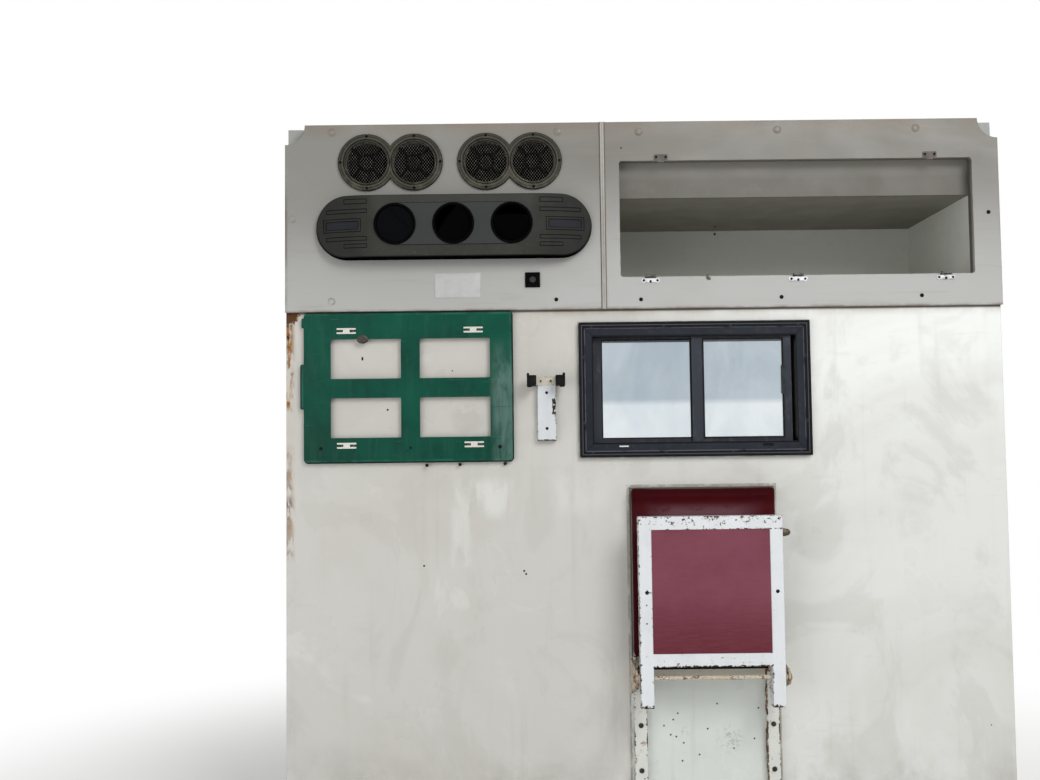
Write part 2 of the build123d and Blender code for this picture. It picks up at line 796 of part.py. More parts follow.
# Sashes: the left one is fixed in the rear track, the right one stands a little open in the front track
sash_z = (window_z - frame_inner[1] / 2 + fit_gap, window_z + frame_inner[1] / 2 - fit_gap)
inner_left = window_x - frame_inner[0] / 2
inner_right = window_x + frame_inner[0] / 2
front_track = face_y + track_gap
rear_track = front_track + sash_depth + track_gap
sash_rows = {  # x low and high, left stile, right stile, front y
    "window_sash_left": (inner_left + fit_gap, mullion_x + mullion_width / 2, fixed_stile_width, mullion_width,
                         rear_track),
    "window_sash_right": (mullion_x - mullion_width / 2, inner_right - sash_gap_right, mullion_width, stile_width,
                          front_track),
}
panes = []
for name, (low, high, left_stile, right_stile, track) in sash_rows.items():
    with BuildPart() as sash:
        pane = ((low + left_stile + high - right_stile) / 2, window_z + glass_rise, high - low - left_stile - right_stile,
                span(sash_z) - 2 * sash_rail)
        with BuildSketch(front(track + sash_depth)):
            with Locations(((low + high) / 2, middle(sash_z))):
                Rectangle(high - low, span(sash_z))
            with Locations(pane[:2]):
                Rectangle(pane[2], pane[3], mode=Mode.SUBTRACT)
        extrude(amount=sash_depth)
        with BuildSketch(front(track + (sash_depth + glass_thickness) / 2 + fit_gap)):
            with Locations(pane[:2]):
                Rectangle(pane[2] + 2 * glass_bite, pane[3] + 2 * glass_bite)
        extrude(amount=glass_thickness + 2 * fit_gap, mode=Mode.SUBTRACT)
        if name == "window_sash_right":
            pull_right = high - right_stile + pull_overlap
            with BuildSketch(front(track)):
                with Locations((pull_right - pull_width / 2, middle(pull_z))):
                    RectangleRounded(pull_width, span(pull_z), pull_overlap)
            extrude(amount=pull_proud)
    panes.append((*pane, track + (sash_depth + glass_thickness) / 2))
    save(sash, name)

with BuildPart() as window_glass:
    for x, z, pane_width, pane_height, y in panes:
        with BuildSketch(front(y)):
            with Locations((x, z)):
                grown = 2 * (glass_bite - glass_slack)
                Rectangle(pane_width + grown, pane_height + grown)
        extrude(amount=glass_thickness)
save(window_glass, "window_glass")

# Equipment rack: a moulded tray, face out, with four windows, edge tabs, a pressed pad and bolt bosses
with BuildPart() as equipment_rack:
    with BuildSketch(front(face_y)):
        with Locations((middle(rack_x), middle((rack_bottom, rack_top)))):
            RectangleRounded(span(rack_x), rack_top - rack_bottom, rack_radius)
        for reach, low, high in rack_tab_rows:
            with Locations((rack_x[0], (low + high) / 2)):
                RectangleRounded(2 * reach, high - low, reach / 2)
    extrude(amount=rack_depth)
    fillet(equipment_rack.edges().group_by(Axis.Y)[0], rack_edge)
    with BuildSketch(front(face_y)):
        with Locations((middle(rack_x), middle((rack_bottom, rack_top)))):
            RectangleRounded(span(rack_x) - 2 * rack_wall, rack_top - rack_bottom - 2 * rack_wall,
                             rack_radius - rack_wall)
    extrude(amount=rack_depth - rack_wall, mode=Mode.SUBTRACT)
    with BuildSketch(front(face_y - rack_depth + rack_wall)):
        with Locations(rack_pad[:2]):
            RectangleRounded(rack_pad[2], rack_pad[3], rack_pad_radius)
    extrude(amount=rack_wall + rack_pad_relief)
    with BuildSketch(front(face_y)):
        with Locations(*[(x, z) for x in rack_bolt_x for z in rack_bolt_z]):
            Circle(rack_boss_radius)
    extrude(amount=rack_depth - rack_wall / 2)
    with BuildSketch(front(face_y)):
        with Locations(*[(x, z) for x in rack_window_x for z in rack_window_z]):
            RectangleRounded(*rack_window_size, rack_window_radius)
        with Locations(*[(x, z) for x in rack_clip_x for z in rack_clip_z]):
            Rectangle(*rack_clip_hole)
        with Locations(*[(x, z) for x in rack_bolt_x for z in rack_bolt_z]):
            Circle(rack_bolt_radius)
    extrude(amount=rack_depth + through, mode=Mode.SUBTRACT)
save(equipment_rack, "equipment_rack")

# Rack clips: spring-steel plates, slotted from both ends
with BuildPart() as rack_clips:
    with BuildSketch(front(face_y - rack_depth)):
        with Locations(*[(x, z) for x in rack_clip_x for z in rack_clip_z]):
            RectangleRounded(*rack_clip_size)
            with GridLocations(2 * rack_clip_slot_x, 0, 2, 1):
                Rectangle(*rack_clip_slot, mode=Mode.SUBTRACT)
    extrude(amount=rack_clip_thickness)
save(rack_clips, "rack_clips")

# Tool bracket: a folded steel box, open to the wall
with BuildPart() as tool_bracket:
    with BuildSketch(front(face_y)):
        with Locations((bracket_x, middle(bracket_z))):
            Rectangle(bracket_width, span(bracket_z))
    extrude(amount=bracket_depth)
    fillet(tool_bracket.edges().group_by(Axis.Y)[0], bracket_edge)
    offset(amount=-sheet, openings=tool_bracket.faces().sort_by(Axis.Y)[-1])
    with BuildSketch(front(face_y)):
        with Locations(*[(bracket_x, z) for z in bracket_hole_z]):
            Circle(bracket_hole_radius)
    extrude(amount=bracket_depth + through, mode=Mode.SUBTRACT)
save(tool_bracket, "tool_bracket")

# Spring clip on the bracket: a strap with both ends bent forward, a rubber jaw on each
bracket_face_y = face_y - bracket_depth
clip_half = clip_span / 2
with BuildPart() as bracket_clip:
    with BuildSketch(Plane.XY.offset(clip_z - clip_height / 2)):
        with BuildLine():
            back_y = bracket_face_y - clip_strap / 2
            Polyline((clip_x - clip_half, back_y - clip_arm), (clip_x - clip_half, back_y),
                     (clip_x + clip_half, back_y), (clip_x + clip_half, back_y - clip_arm))
            fillet(vertices().group_by(Axis.Y)[-1], clip_bend)
            offset(amount=clip_strap / 2, side=Side.BOTH)
        make_face()
    extrude(amount=clip_height)
    with BuildSketch(front(bracket_face_y - clip_strap)):
        with Locations((clip_x, clip_z)), GridLocations(rivet_spacing, 0, 2, 1):
            Circle(rivet_radius)
    extrude(amount=rivet_height)
save(bracket_clip, "bracket_clip")

jaw_back_y = bracket_face_y - clip_strap - clip_bend
with BuildPart() as clip_jaws:
    for side in (-1, 1):
        jaw_x = clip_x + side * clip_half
        with BuildSketch(Plane.XY.offset(clip_z - jaw_height / 2)):
            with Locations((jaw_x, jaw_back_y - jaw_depth / 2)):
                RectangleRounded(jaw_width, jaw_depth, jaw_radius)
            with Locations((clip_x, jaw_back_y - jaw_depth / 2)):
                Circle(jaw_scallop, mode=Mode.SUBTRACT)
        extrude(amount=jaw_height)
        with BuildSketch(Plane.XY.offset(clip_z - clip_height / 2 - fit_gap)):
            slot = clip_arm + clip_strap + 2 * fit_gap
            with Locations((jaw_x, bracket_face_y - slot / 2)):
                Rectangle(clip_strap + 2 * fit_gap, slot)
        extrude(amount=clip_height + 2 * fit_gap, mode=Mode.SUBTRACT)
save(clip_jaws, "clip_jaws")

# Seat: the plate on the wall, and the two upright rails below the cushion
plate_face_y = face_y - backplate_thickness
rail_face_y = plate_face_y - rail_depth
with BuildPart() as seat_backplate:
    with BuildSketch(front(face_y)):
        with Locations((seat_x, middle(backplate_z))):
            RectangleRounded(backplate_width, span(backplate_z), backplate_radius)
    extrude(amount=backplate_thickness)
save(seat_backplate, "seat_backplate")

rail_x = [seat_x + side * (rail_span - rail_width) / 2 for side in (-1, 1)]
with BuildPart() as seat_rails:
    with BuildSketch(Plane.XY.offset(sole_thickness)):
        for x in rail_x:
            with Locations((x, plate_face_y - rail_depth / 2)):
                RectangleRounded(rail_width, rail_depth, rail_radius)
                Rectangle(rail_width - 2 * rail_wall, rail_depth - 2 * rail_wall, mode=Mode.SUBTRACT)
    extrude(amount=rail_top - sole_thickness)
save(seat_rails, "seat_rails")

with BuildPart() as seat_cross_rail:
    inner_span = rail_span - 2 * rail_width
    with BuildSketch(Plane.YZ.offset(seat_x - inner_span / 2)):
        with Locations((plate_face_y - rail_depth / 2, middle(cross_rail_z))):
            RectangleRounded(rail_depth, span(cross_rail_z), rail_radius)
            Rectangle(rail_depth - 2 * rail_wall, span(cross_rail_z) - 2 * rail_wall, mode=Mode.SUBTRACT)
    extrude(amount=inner_span)
save(seat_cross_rail, "seat_cross_rail")

# Seat lugs: gusset plates beside the rails, each folded inward at the top as the stop for a leg
with BuildPart() as seat_lugs:
    for side in (-1, 1):
        inner_x = seat_x + side * rail_span / 2
        with BuildSketch(Plane.YZ.offset(inner_x)):
            with BuildLine():
                Polyline((plate_face_y, lug_z[0]), (plate_face_y, lug_z[1]), (rail_face_y - stop_length, lug_z[1]),
                         (pivot_y, pivot_z + lug_nose), (pivot_y, pivot_z - lug_nose), close=True)
            make_face()
            with Locations((pivot_y, pivot_z)):
                Circle(lug_nose)
                Circle(rod_radius + rod_clearance, mode=Mode.SUBTRACT)
        extrude(amount=side * lug_thickness)
        with BuildSketch(Plane.YZ.offset(inner_x)):
            with Locations((rail_face_y - stop_length / 2, lug_z[1] - lug_thickness / 2)):
                Rectangle(stop_length, lug_thickness)
        extrude(amount=-side * rail_width)
save(seat_lugs, "seat_lugs")

# Pivot rod: right across the seat, with spacer washers, outer washers and low domed nuts
with BuildPart() as pivot_rod:
    rod_plane = Plane(origin=(seat_x, pivot_y, pivot_z), x_dir=(0, 1, 0), z_dir=(1, 0, 0))
    outer_face = rail_span / 2 + lug_thickness
    with BuildSketch(rod_plane):
        Circle(rod_radius)
    extrude(amount=outer_face, both=True)
    for side in (-1, 1):
        spacer = (seat_frame_width / 2 + fit_gap, rail_span / 2)
        with BuildSketch(rod_plane.offset(side * spacer[0])):
            Circle(spacer_radius)
        extrude(amount=side * span(spacer))
        with BuildSketch(rod_plane.offset(side * outer_face)):
            Circle(washer[0])
        extrude(amount=side * washer[1])
        with BuildSketch(rod_plane.offset(side * (outer_face + washer[1]))):
            Circle(rod_head[0])
        extrude(amount=side * rod_head[1])
    ends = pivot_rod.edges().group_by(Axis.X)
    chamfer(ends[0] + ends[-1], rod_head_bevel)
save(pivot_rod, "pivot_rod")

# Back cushion on the plate above the rails
with BuildPart() as back_cushion:
    with BuildSketch(front(plate_face_y)):
        with Locations((seat_x, middle(cushion_z))):
            RectangleRounded(cushion_width, span(cushion_z), back_cushion_radii[0])
    extrude(amount=back_cushion_thickness)
    fillet(back_cushion.edges().group_by(Axis.Y)[0], back_cushion_radii[1])
save(back_cushion, "back_cushion")

# The moving seat is drawn in its own plane through the pivot: local x is X, local y runs up the legs
seat_plane = Plane(origin=(seat_x, pivot_y, pivot_z), x_dir=(1, 0, 0), z_dir=(0, -1, 0))
half_tube = seat_tube / 2
leg_x = (seat_frame_width - seat_tube) / 2
inner_width = seat_frame_width - 2 * seat_tube
with BuildPart() as seat_frame:
    with BuildSketch(seat_plane.offset(-half_tube)):
        with Locations((-leg_x, middle((-leg_below, leg_above))), (leg_x, middle((-leg_below, leg_above)))):
            Rectangle(seat_tube, leg_below + leg_above)
        with Locations((0, leg_above - half_tube), (0, cross_bottom + half_tube)):
            Rectangle(seat_frame_width - seat_tube, seat_tube)
        under = vertices().filter_by(lambda v: abs(v.Y - cross_bottom) < 1 and abs(abs(v.X) - inner_width / 2) < 1)
        fillet(under, corner_weld)
    extrude(amount=seat_tube)
    outline = seat_frame.edges().filter_by(lambda e: abs(e.tangent_at(0.5).X) < 0.1 and e.length > 200)
    fillet(outline, seat_tube_edge)
    leg_void = leg_above + leg_below - seat_tube
    for x in (-leg_x, leg_x):
        with BuildSketch(Plane(seat_plane.location * Location((x, -leg_below, 0), (90, 0, 0)))):
            Rectangle(seat_tube - 2 * seat_tube_wall, seat_tube - 2 * seat_tube_wall)
        extrude(amount=-leg_void, mode=Mode.SUBTRACT)
    with BuildSketch(seat_plane.offset(half_tube)):
        with Locations((-leg_x + strap_hole_inset, strap_hole_z), (leg_x, strap_hole_z)):
            Circle(strap_hole_radius)
        with Locations((-leg_x + strap_slot_offset, strap_hole_z)):
            Rectangle(*strap_slot)
    extrude(amount=-strap_slot_depth, mode=Mode.SUBTRACT)
    with BuildSketch(rod_plane):
        Circle(rod_radius + rod_clearance)
    extrude(amount=seat_frame_width, both=True, mode=Mode.SUBTRACT)
save(seat_frame, "seat_frame")

# Seat board, covered in vinyl, between the tubes
board_span = (cross_bottom + seat_tube + fit_gap, leg_above - seat_tube - fit_gap)
with BuildPart() as seat_board:
    with BuildSketch(seat_plane.offset(half_tube - seat_board_recess - seat_board_thickness)):
        with Locations((0, middle(board_span))):
            Rectangle(inner_width - 2 * fit_gap, span(board_span))
    extrude(amount=seat_board_thickness)
save(seat_board, "seat_board")

# Seat cushion on the wall side of the folded frame
with BuildPart() as seat_cushion:
    with BuildSketch(seat_plane.offset(-half_tube - fit_gap)):
        with Locations((0, middle(seat_cushion_span))):
            RectangleRounded(seat_cushion_width, span(seat_cushion_span), seat_cushion_radii[0])
    extrude(amount=-seat_cushion_thickness)
    fillet(seat_cushion.edges().group_by(Axis.Y)[-1], seat_cushion_radii[1])
save(seat_cushion, "seat_cushion")

# Strap stud: a nut on the right tube and a domed end past it
with BuildPart() as strap_stud:
    stud_plane = Plane(seat_plane.location * Location((seat_frame_width / 2, stud_z, 0), (0, 90, 0)))
    with BuildSketch(stud_plane):
        RegularPolygon(stud_nut[0], 6, major_radius=False)
    extrude(amount=stud_nut[1])
    level, radius = stud_nut[1], stud_radius
    for rise, taper in stud_dome:
        with BuildSketch(stud_plane.offset(level)):
            Circle(radius)
        extrude(amount=rise, taper=taper)
        level += rise
        radius -= rise * tan(radians(taper))
save(strap_stud, "strap_stud")
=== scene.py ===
"""Looks of an ambulance saloon's front bulkhead: finishes, wire mesh, small fastenings, stuffed cushions.

Metres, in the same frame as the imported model: +X right as seen from the saloon, +Y to the cab, +Z up.
Profiles of turned pieces are in millimetres. Colours are display values, 0 to 255.
"""

import math
import random

import bmesh
import bpy
import numpy as np
from mathutils import Matrix, Vector


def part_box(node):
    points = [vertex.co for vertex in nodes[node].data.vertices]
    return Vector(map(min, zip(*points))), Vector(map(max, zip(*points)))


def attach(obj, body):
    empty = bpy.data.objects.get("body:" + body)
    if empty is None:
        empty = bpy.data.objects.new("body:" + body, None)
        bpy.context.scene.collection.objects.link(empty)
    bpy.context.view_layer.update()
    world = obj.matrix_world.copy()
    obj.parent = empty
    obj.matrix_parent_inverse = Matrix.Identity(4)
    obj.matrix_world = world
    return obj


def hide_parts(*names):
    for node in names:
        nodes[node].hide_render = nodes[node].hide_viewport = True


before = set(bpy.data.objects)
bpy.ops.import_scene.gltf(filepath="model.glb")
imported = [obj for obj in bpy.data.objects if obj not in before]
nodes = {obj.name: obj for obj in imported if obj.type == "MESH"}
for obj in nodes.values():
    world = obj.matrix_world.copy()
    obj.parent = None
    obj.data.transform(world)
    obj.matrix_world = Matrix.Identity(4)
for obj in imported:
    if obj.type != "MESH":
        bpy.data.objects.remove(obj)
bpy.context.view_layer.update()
scene = bpy.context.scene
MM = 0.001

# Faces that the small pieces sit on, read from the frame
WALL_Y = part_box("seat_backplate")[1].y
COVER_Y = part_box("ac_cover_panel")[0].y
RACK_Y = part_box("rack_clips")[1].y
RAIL_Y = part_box("seat_rails")[0].y
PLATE_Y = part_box("seat_backplate")[0].y
BRACKET_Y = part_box("tool_bracket")[0].y
WINDOW_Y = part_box("window_frame")[0].y
FRAME_REAR_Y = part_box("frame_posts")[1].y
FRONT = Vector((0, -1, 0))
BACK = Vector((0, 1, 0))

# Middles of the four rings of the two grilles: each grille is two rings side by side
RING_CENTRES = []
for grille in ("grille_left", "grille_right"):
    grille_low, grille_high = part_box(grille)
    ring_reach = (grille_high.z - grille_low.z) / 2
    for ring_x in (grille_low.x + ring_reach, grille_high.x - ring_reach):
        RING_CENTRES.append(Vector((ring_x, COVER_Y, grille_low.z + ring_reach)))

# Middle of the bare plate under the fascia, and half its width and height
LABEL_X, LABEL_Z = -0.485, 1.423
LABEL_HALF_X, LABEL_HALF_Z = 61 * MM, 34 * MM

# Shared colours
RUST = (122, 66, 30)
DARK_RUST = (58, 34, 22)
BARE = (30, 25, 22)
GRIME = (92, 82, 66)
PALE = (232, 232, 230)


def rgb(red, green, blue):
    """A display colour as the linear colour that a shader takes."""
    linear = [v / 3294.6 if v <= 10.31 else ((v / 255 + 0.055) / 1.055) ** 2.4 for v in (red, green, blue)]
    return (*linear, 1.0)


class Nodes:
    """Adds nodes to a shader tree and returns their sockets."""

    def __init__(self, tree):
        self.tree = tree

    def node(self, kind, **settings):
        made = self.tree.nodes.new(kind)
        for key, value in settings.items():
            setattr(made, key, value)
        return made

    def put(self, socket, value):
        """Links a socket, or sets a number or a colour."""
        if isinstance(value, bpy.types.NodeSocket):
            self.tree.links.new(value, socket)
        else:
            socket.default_value = rgb(*value) if isinstance(value, tuple) and len(value) == 3 else value

    def math(self, operation, a, b=0.0):
        made = self.node("ShaderNodeMath", operation=operation)
        self.put(made.inputs[0], a)
        self.put(made.inputs[1], b)
        return made.outputs[0]

    def chain(self, operation, values):
        made = values[0]
        for value in values[1:]:
            made = self.math(operation, made, value)
        return made

    def both(self, *masks):
        """The product of masks, or of masks and plain shares."""
        return self.chain("MULTIPLY", masks)

    def either(self, *masks):
        return self.chain("MAXIMUM", masks)

    def least(self, *values):
        return self.chain("MINIMUM", values)

    def plus(self, a, b):
        return self.math("ADD", a, b)

    def minus(self, a, b):
        return self.math("SUBTRACT", a, b)

    def apart(self, a, b):
        return self.math("ABSOLUTE", self.minus(a, b))

    def step(self, value, low, high, start=0.0, end=1.0):
        """Rises smoothly from start to end as value goes from low to high; low may be the larger."""
        made = self.node("ShaderNodeMapRange", interpolation_type="SMOOTHSTEP")
        if low > high:
            low, high, start, end = high, low, end, start
        for index, number in enumerate((value, low, high, start, end)):
            self.put(made.inputs[index], number)
        return made.outputs[0]

    def band(self, value, low, high, soft=0.0004):
        """One while the value lies between low and high."""
        starts = self.step(value, low - soft, low + soft)
        return self.both(starts, self.step(value, high + soft, high - soft))

    def mix(self, factor, a, b):
        made = self.node("ShaderNodeMix", data_type="RGBA")
        for index, value in ((0, factor), (6, a), (7, b)):
            self.put(made.inputs[index], value)
        return made.outputs[2]


class Finish(Nodes):
    """One procedural material. Places are object coordinates; the tone is the colour as painted so far."""

    def __init__(self, name, roughness=0.5, metallic=0.0, **sockets):
        self.material = bpy.data.materials.new(name)
        self.material.use_nodes = True
        super().__init__(self.material.node_tree)
        self.shader = self.tree.nodes["Principled BSDF"]
        self.place = self.node("ShaderNodeTexCoord").outputs["Object"]
        split = self.node("ShaderNodeSeparateXYZ")
        self.put(split.inputs[0], self.place)
        self.x, self.y, self.z = split.outputs
        self.shader.inputs["Roughness"].default_value = roughness
        self.shader.inputs["Metallic"].default_value = metallic
        for socket, value in sockets.items():
            self.shader.inputs[socket.replace("_", " ").title().replace("Ior", "IOR")].default_value = value
        self.tone = None

    def mapped(self, stretch, shift):
        made = self.node("ShaderNodeMapping")
        self.put(made.inputs["Vector"], self.place)
        made.inputs["Scale"].default_value = (stretch[0], 1, stretch[1])
        made.inputs["Location"].default_value = shift
        return made.outputs[0]

    def noise(self, scale, detail=4.0, rough=0.55, stretch=(1, 1), shift=(0, 0, 0), swirl=0.0):
        """Noise whose pattern is squeezed in X and Z by the two stretches."""
        made = self.node("ShaderNodeTexNoise")
        self.put(made.inputs["Vector"], self.mapped(stretch, shift))
        settings = {"Scale": scale, "Detail": detail, "Roughness": rough, "Distortion": swirl}
        for socket, value in settings.items():
            made.inputs[socket].default_value = value
        return made.outputs[0]

    def cloud(self, low, high, *noise, **more):
        """Patches where the noise rises from low to high."""
        return self.step(self.noise(*noise, **more), low, high)

    def cells(self, scale, feature="F1", shift=(0, 0, 0)):
        made = self.node("ShaderNodeTexVoronoi", feature=feature)
        self.put(made.inputs["Vector"], self.mapped((1, 1), shift))
        made.inputs["Scale"].default_value = scale
        return made

    def specks(self, scale, radius, share, shift=(0, 0, 0)):
        """Round specks of up to radius metres, one in some of the cells."""
        cell = self.cells(scale, shift=shift)
        pick = self.node("ShaderNodeSeparateColor")
        self.put(pick.inputs[0], cell.outputs["Color"])
        reach = self.both(self.step(pick.outputs[0], 1 - share, 1.0), radius * scale)
        return self.math("LESS_THAN", cell.outputs["Distance"], reach)

    def patch(self, low, high, soft):
        """A soft-edged rectangle in X and Z."""
        return self.both(self.band(self.x, low[0], high[0], soft), self.band(self.z, low[1], high[1], soft))

    def inset(self, node):
        """How far a point lies in from the nearer upright, and nearer level, side of a node's box."""
        low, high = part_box(node)
        return (self.least(self.minus(self.x, low.x), self.minus(high.x, self.x)),
                self.least(self.minus(self.z, low.z), self.minus(high.z, self.z)))

    def depth(self, node):
        """How far a point lies in from the nearest side of a node's box."""
        return self.least(*self.inset(node))

    def facing(self, letter, sign):
        """One where the surface faces along or against an axis."""
        split = self.node("ShaderNodeSeparateXYZ")
        self.put(split.inputs[0], self.node("ShaderNodeTexCoord").outputs["Normal"])
        return self.step(self.both(split.outputs[letter], float(sign)), 0.45, 0.80)

    def distance(self, point):
        made = self.node("ShaderNodeVectorMath", operation="DISTANCE")
        self.put(made.inputs[0], self.place)
        made.inputs[1].default_value = point
        return made.outputs["Value"]

    def near(self, point, inner, outer):
        """One within inner metres of the point and nothing past outer."""
        return self.step(self.distance(point), outer, inner)

    def flecks_at(self, places, y, mask, inner, outer):
        """The mask with one more fleck at each X and Z."""
        return self.either(mask, *[self.near((x, y, z), inner, outer) for x, z in places])

    def edges(self, radius, low=0.02, high=0.30):
        """One along the sharp edges of the shape, from a rounded normal against the true one."""
        rounded = self.node("ShaderNodeBevel", samples=4)
        rounded.inputs["Radius"].default_value = radius
        dot = self.node("ShaderNodeVectorMath", operation="DOT_PRODUCT")
        self.put(dot.inputs[0], rounded.outputs[0])
        self.put(dot.inputs[1], self.node("ShaderNodeNewGeometry").outputs["Normal"])
        return self.step(self.minus(1.0, dot.outputs["Value"]), low, high)

    def paint(self, over, share, *masks):
        """Lays a share of a colour over the tone so far, where the masks meet."""
        if share != 1:
            masks = (*masks, share)
        self.tone = self.mix(self.both(*masks), self.tone, over)

    def colour(self, value):
        self.put(self.shader.inputs["Base Color"], value)

    def roughness(self, value):
        self.put(self.shader.inputs["Roughness"], value)

    def level(self, socket, mask, outside, inside):
        """Sets a socket to one value outside the mask and to another inside it."""
        self.put(self.shader.inputs[socket], self.step(mask, 0.0, 1.0, outside, inside))

    def surface(self, low, high, *noise, **more):
        """Uses the tone, and a roughness that wanders between low and high."""
        self.colour(self.tone)
        self.roughness(self.step(self.noise(*noise, **more), 0.3, 0.7, low, high))

    def relief(self, *layers):
        """Adds bumps as (height socket, distance in metres, strength); returns the material."""
        last = None
        for height, distance, strength in layers:
            made = self.node("ShaderNodeBump")
            made.inputs["Distance"].default_value = distance
            made.inputs["Strength"].default_value = strength
            self.put(made.inputs["Height"], height)
            if last is not None:
                self.put(made.inputs["Normal"], last)
            last = made.outputs[0]
        self.put(self.shader.inputs["Normal"], last)
        return self.material

    def repainted(self):
        """Uses the tone as it is now; returns the material."""
        self.colour(self.tone)
        return self.material


def gelcoat_wall():
    """Off-white moulded wall: painted lighter to the right as painted light, pale patches that are wipe
    marks and painted highlights, cloudy ageing, grime round fittings, a line under the covers that is grime
    and painted shadow, rust down the left edge, bare behind.
    """
    f = Finish("wall_gelcoat", coat_roughness=0.2)
    # Painted light: the wall is painted lighter to the right, as if lit more strongly there; it is also
    # painted lighter towards the bottom.
    f.tone = f.mix(f.step(f.x, -0.35, 0.55), (201, 198, 192), (240, 242, 239))
    f.paint((209, 209, 204), 0.45, f.step(f.z, 1.25, 0.95))
    f.paint((188, 184, 175), 0.35, f.cloud(0.42, 0.66, 1.5, 5, 0.6, swirl=0.8))
    # Pale patches that are partly wipe marks and partly painted highlights where the gloss caught the light.
    wipe_and_highlight_patches = f.either(f.patch((-0.496, 0.822), (-0.352, 0.914), 0.018),
                     f.patch((-0.503, 0.69), (-0.455, 0.85), 0.016),
                     f.both(f.patch((-0.24, 0.83), (-0.1, 0.92), 0.03), 0.6))
    wiped_highlights = f.both(wipe_and_highlight_patches, f.cloud(0.36, 0.58, 17, 5, 0.62, (1.5, 0.5), shift=(4, 0, 2)))
    f.paint((222, 222, 217), 0.75, wiped_highlights)
    cloudy = f.noise(3.1, 5, 0.62, (1, 0.75), shift=(6, 2, 1), swirl=1.4)
    f.paint((180, 177, 169), 0.22, f.step(cloudy, 0.5, 0.6))
    f.paint((222, 221, 216), 0.4, f.step(cloudy, 0.42, 0.34))
    f.paint((164, 157, 142), 0.16, f.cloud(0.55, 0.8, 9, 4, 0.6, (3.2, 0.22)))
    f.paint((180, 175, 164), 0.1, f.cloud(0.62, 0.76, 30, 3, 0.5, (0.4, 2.2)))
    f.paint(GRIME, 0.5, f.step(f.z, 0.3, 0.02), f.cloud(0.35, 0.75, 7, 6, 0.65))
    # Brown grime below the covers, and a dark line along their lower edge that is grime and painted shadow
    # of the gap.
    under_cover = f.step(f.z, 1.33, 1.357)
    f.paint((142, 122, 94), 0.45, under_cover, f.cloud(0.3, 0.62, 9, 5, 0.6, (1, 0.4)))
    f.paint((48, 38, 30), 0.85, f.step(f.z, 1.35, 1.3545))
    # Dirty sealant round the seat's wall plate and the window
    for node, reach, share in (("seat_backplate", 0.0045, 0.55), ("window_frame", 0.0030, 0.45)):
        line = f.band(f.depth(node), -reach, 0.0, 0.0008)
        f.paint((104, 94, 78), 1, line, f.cloud(0.3, 0.55, 26, 4), share)
    # Rust that runs down from under the covers, at the left edge and beside the rack
    drips = f.both(f.cloud(0.44, 0.56, 46, 6, 0.68, (1.3, 0.42)),
                   f.cloud(0.42, 0.56, 7, 3, 0.5, (0, 1), shift=(0, 0, 3)))
    left_edge = f.both(f.step(f.x, -0.908, -0.925), f.step(f.z, 0.45, 1.05))
    corner = f.step(f.plus(f.near((-0.935, WALL_Y, 1.357), 0.004, 0.062), f.both(f.noise(110, 5, 0.7), 1.1)),
                    0.98, 1.1)
    rust = f.either(f.both(drips, left_edge), corner)
    f.paint((206, 176, 130), 0.35, f.step(f.x, -0.908, -0.93), f.step(f.z, 0.7, 1.2),
            f.cloud(0.3, 0.6, 12, 4))
    darker = f.either(f.both(corner, 0.8), f.cloud(0.48, 0.62, 60, 4))
    f.paint(f.mix(darker, (150, 104, 56), DARK_RUST), 0.98, rust)
    stain = f.both(f.near((-0.462, WALL_Y, 1.075), 0.026, 0.056), f.cloud(0.3, 0.52, 28, 4, 0.6))
    f.paint((170, 168, 161), 0.42, stain)
    places = ((-0.579, 0.697), (-0.316, 0.673), (-0.321, 0.681), (-0.736, 1.233), (-0.736, 1.237),
              (-0.671, 1.101))
    flecks = f.either(f.specks(8, 0.0026, 0.2), f.specks(21, 0.0011, 0.16, (3, 1, 2)))
    flecks = f.flecks_at(places, WALL_Y, flecks, 0.0022, 0.0032)
    f.paint(BARE, 1, flecks)
    dull = f.either(rust, flecks)
    f.level("Specular IOR Level", dull, 0.4, 0.05)
    f.level("Coat Weight", dull, 0.15, 0.0)
    behind = f.step(f.y, 0.0135, 0.0145)
    weave = f.noise(160, 3, 0.6, (1, 0.25))
    laminate = f.mix(f.cloud(0.3, 0.7, 5, 5), (168, 160, 138), (146, 138, 116))
    f.paint(f.mix(f.step(weave, 0.35, 0.65), laminate, (120, 112, 94)), 1, behind)
    f.colour(f.tone)
    gloss = f.step(f.noise(4, 4, 0.6, shift=(1, 2, 3)), 0.3, 0.7, 0.26, 0.42)
    f.roughness(f.mix(f.either(rust, behind), gloss, (0.75, 0.75, 0.75, 1)))
    return f.relief((f.noise(2.2, 2, 0.4), 0.005, 0.45), (f.both(weave, behind), 0.0012, 0.7),
                    (f.both(rust, -1.0), 0.0008, 0.5))


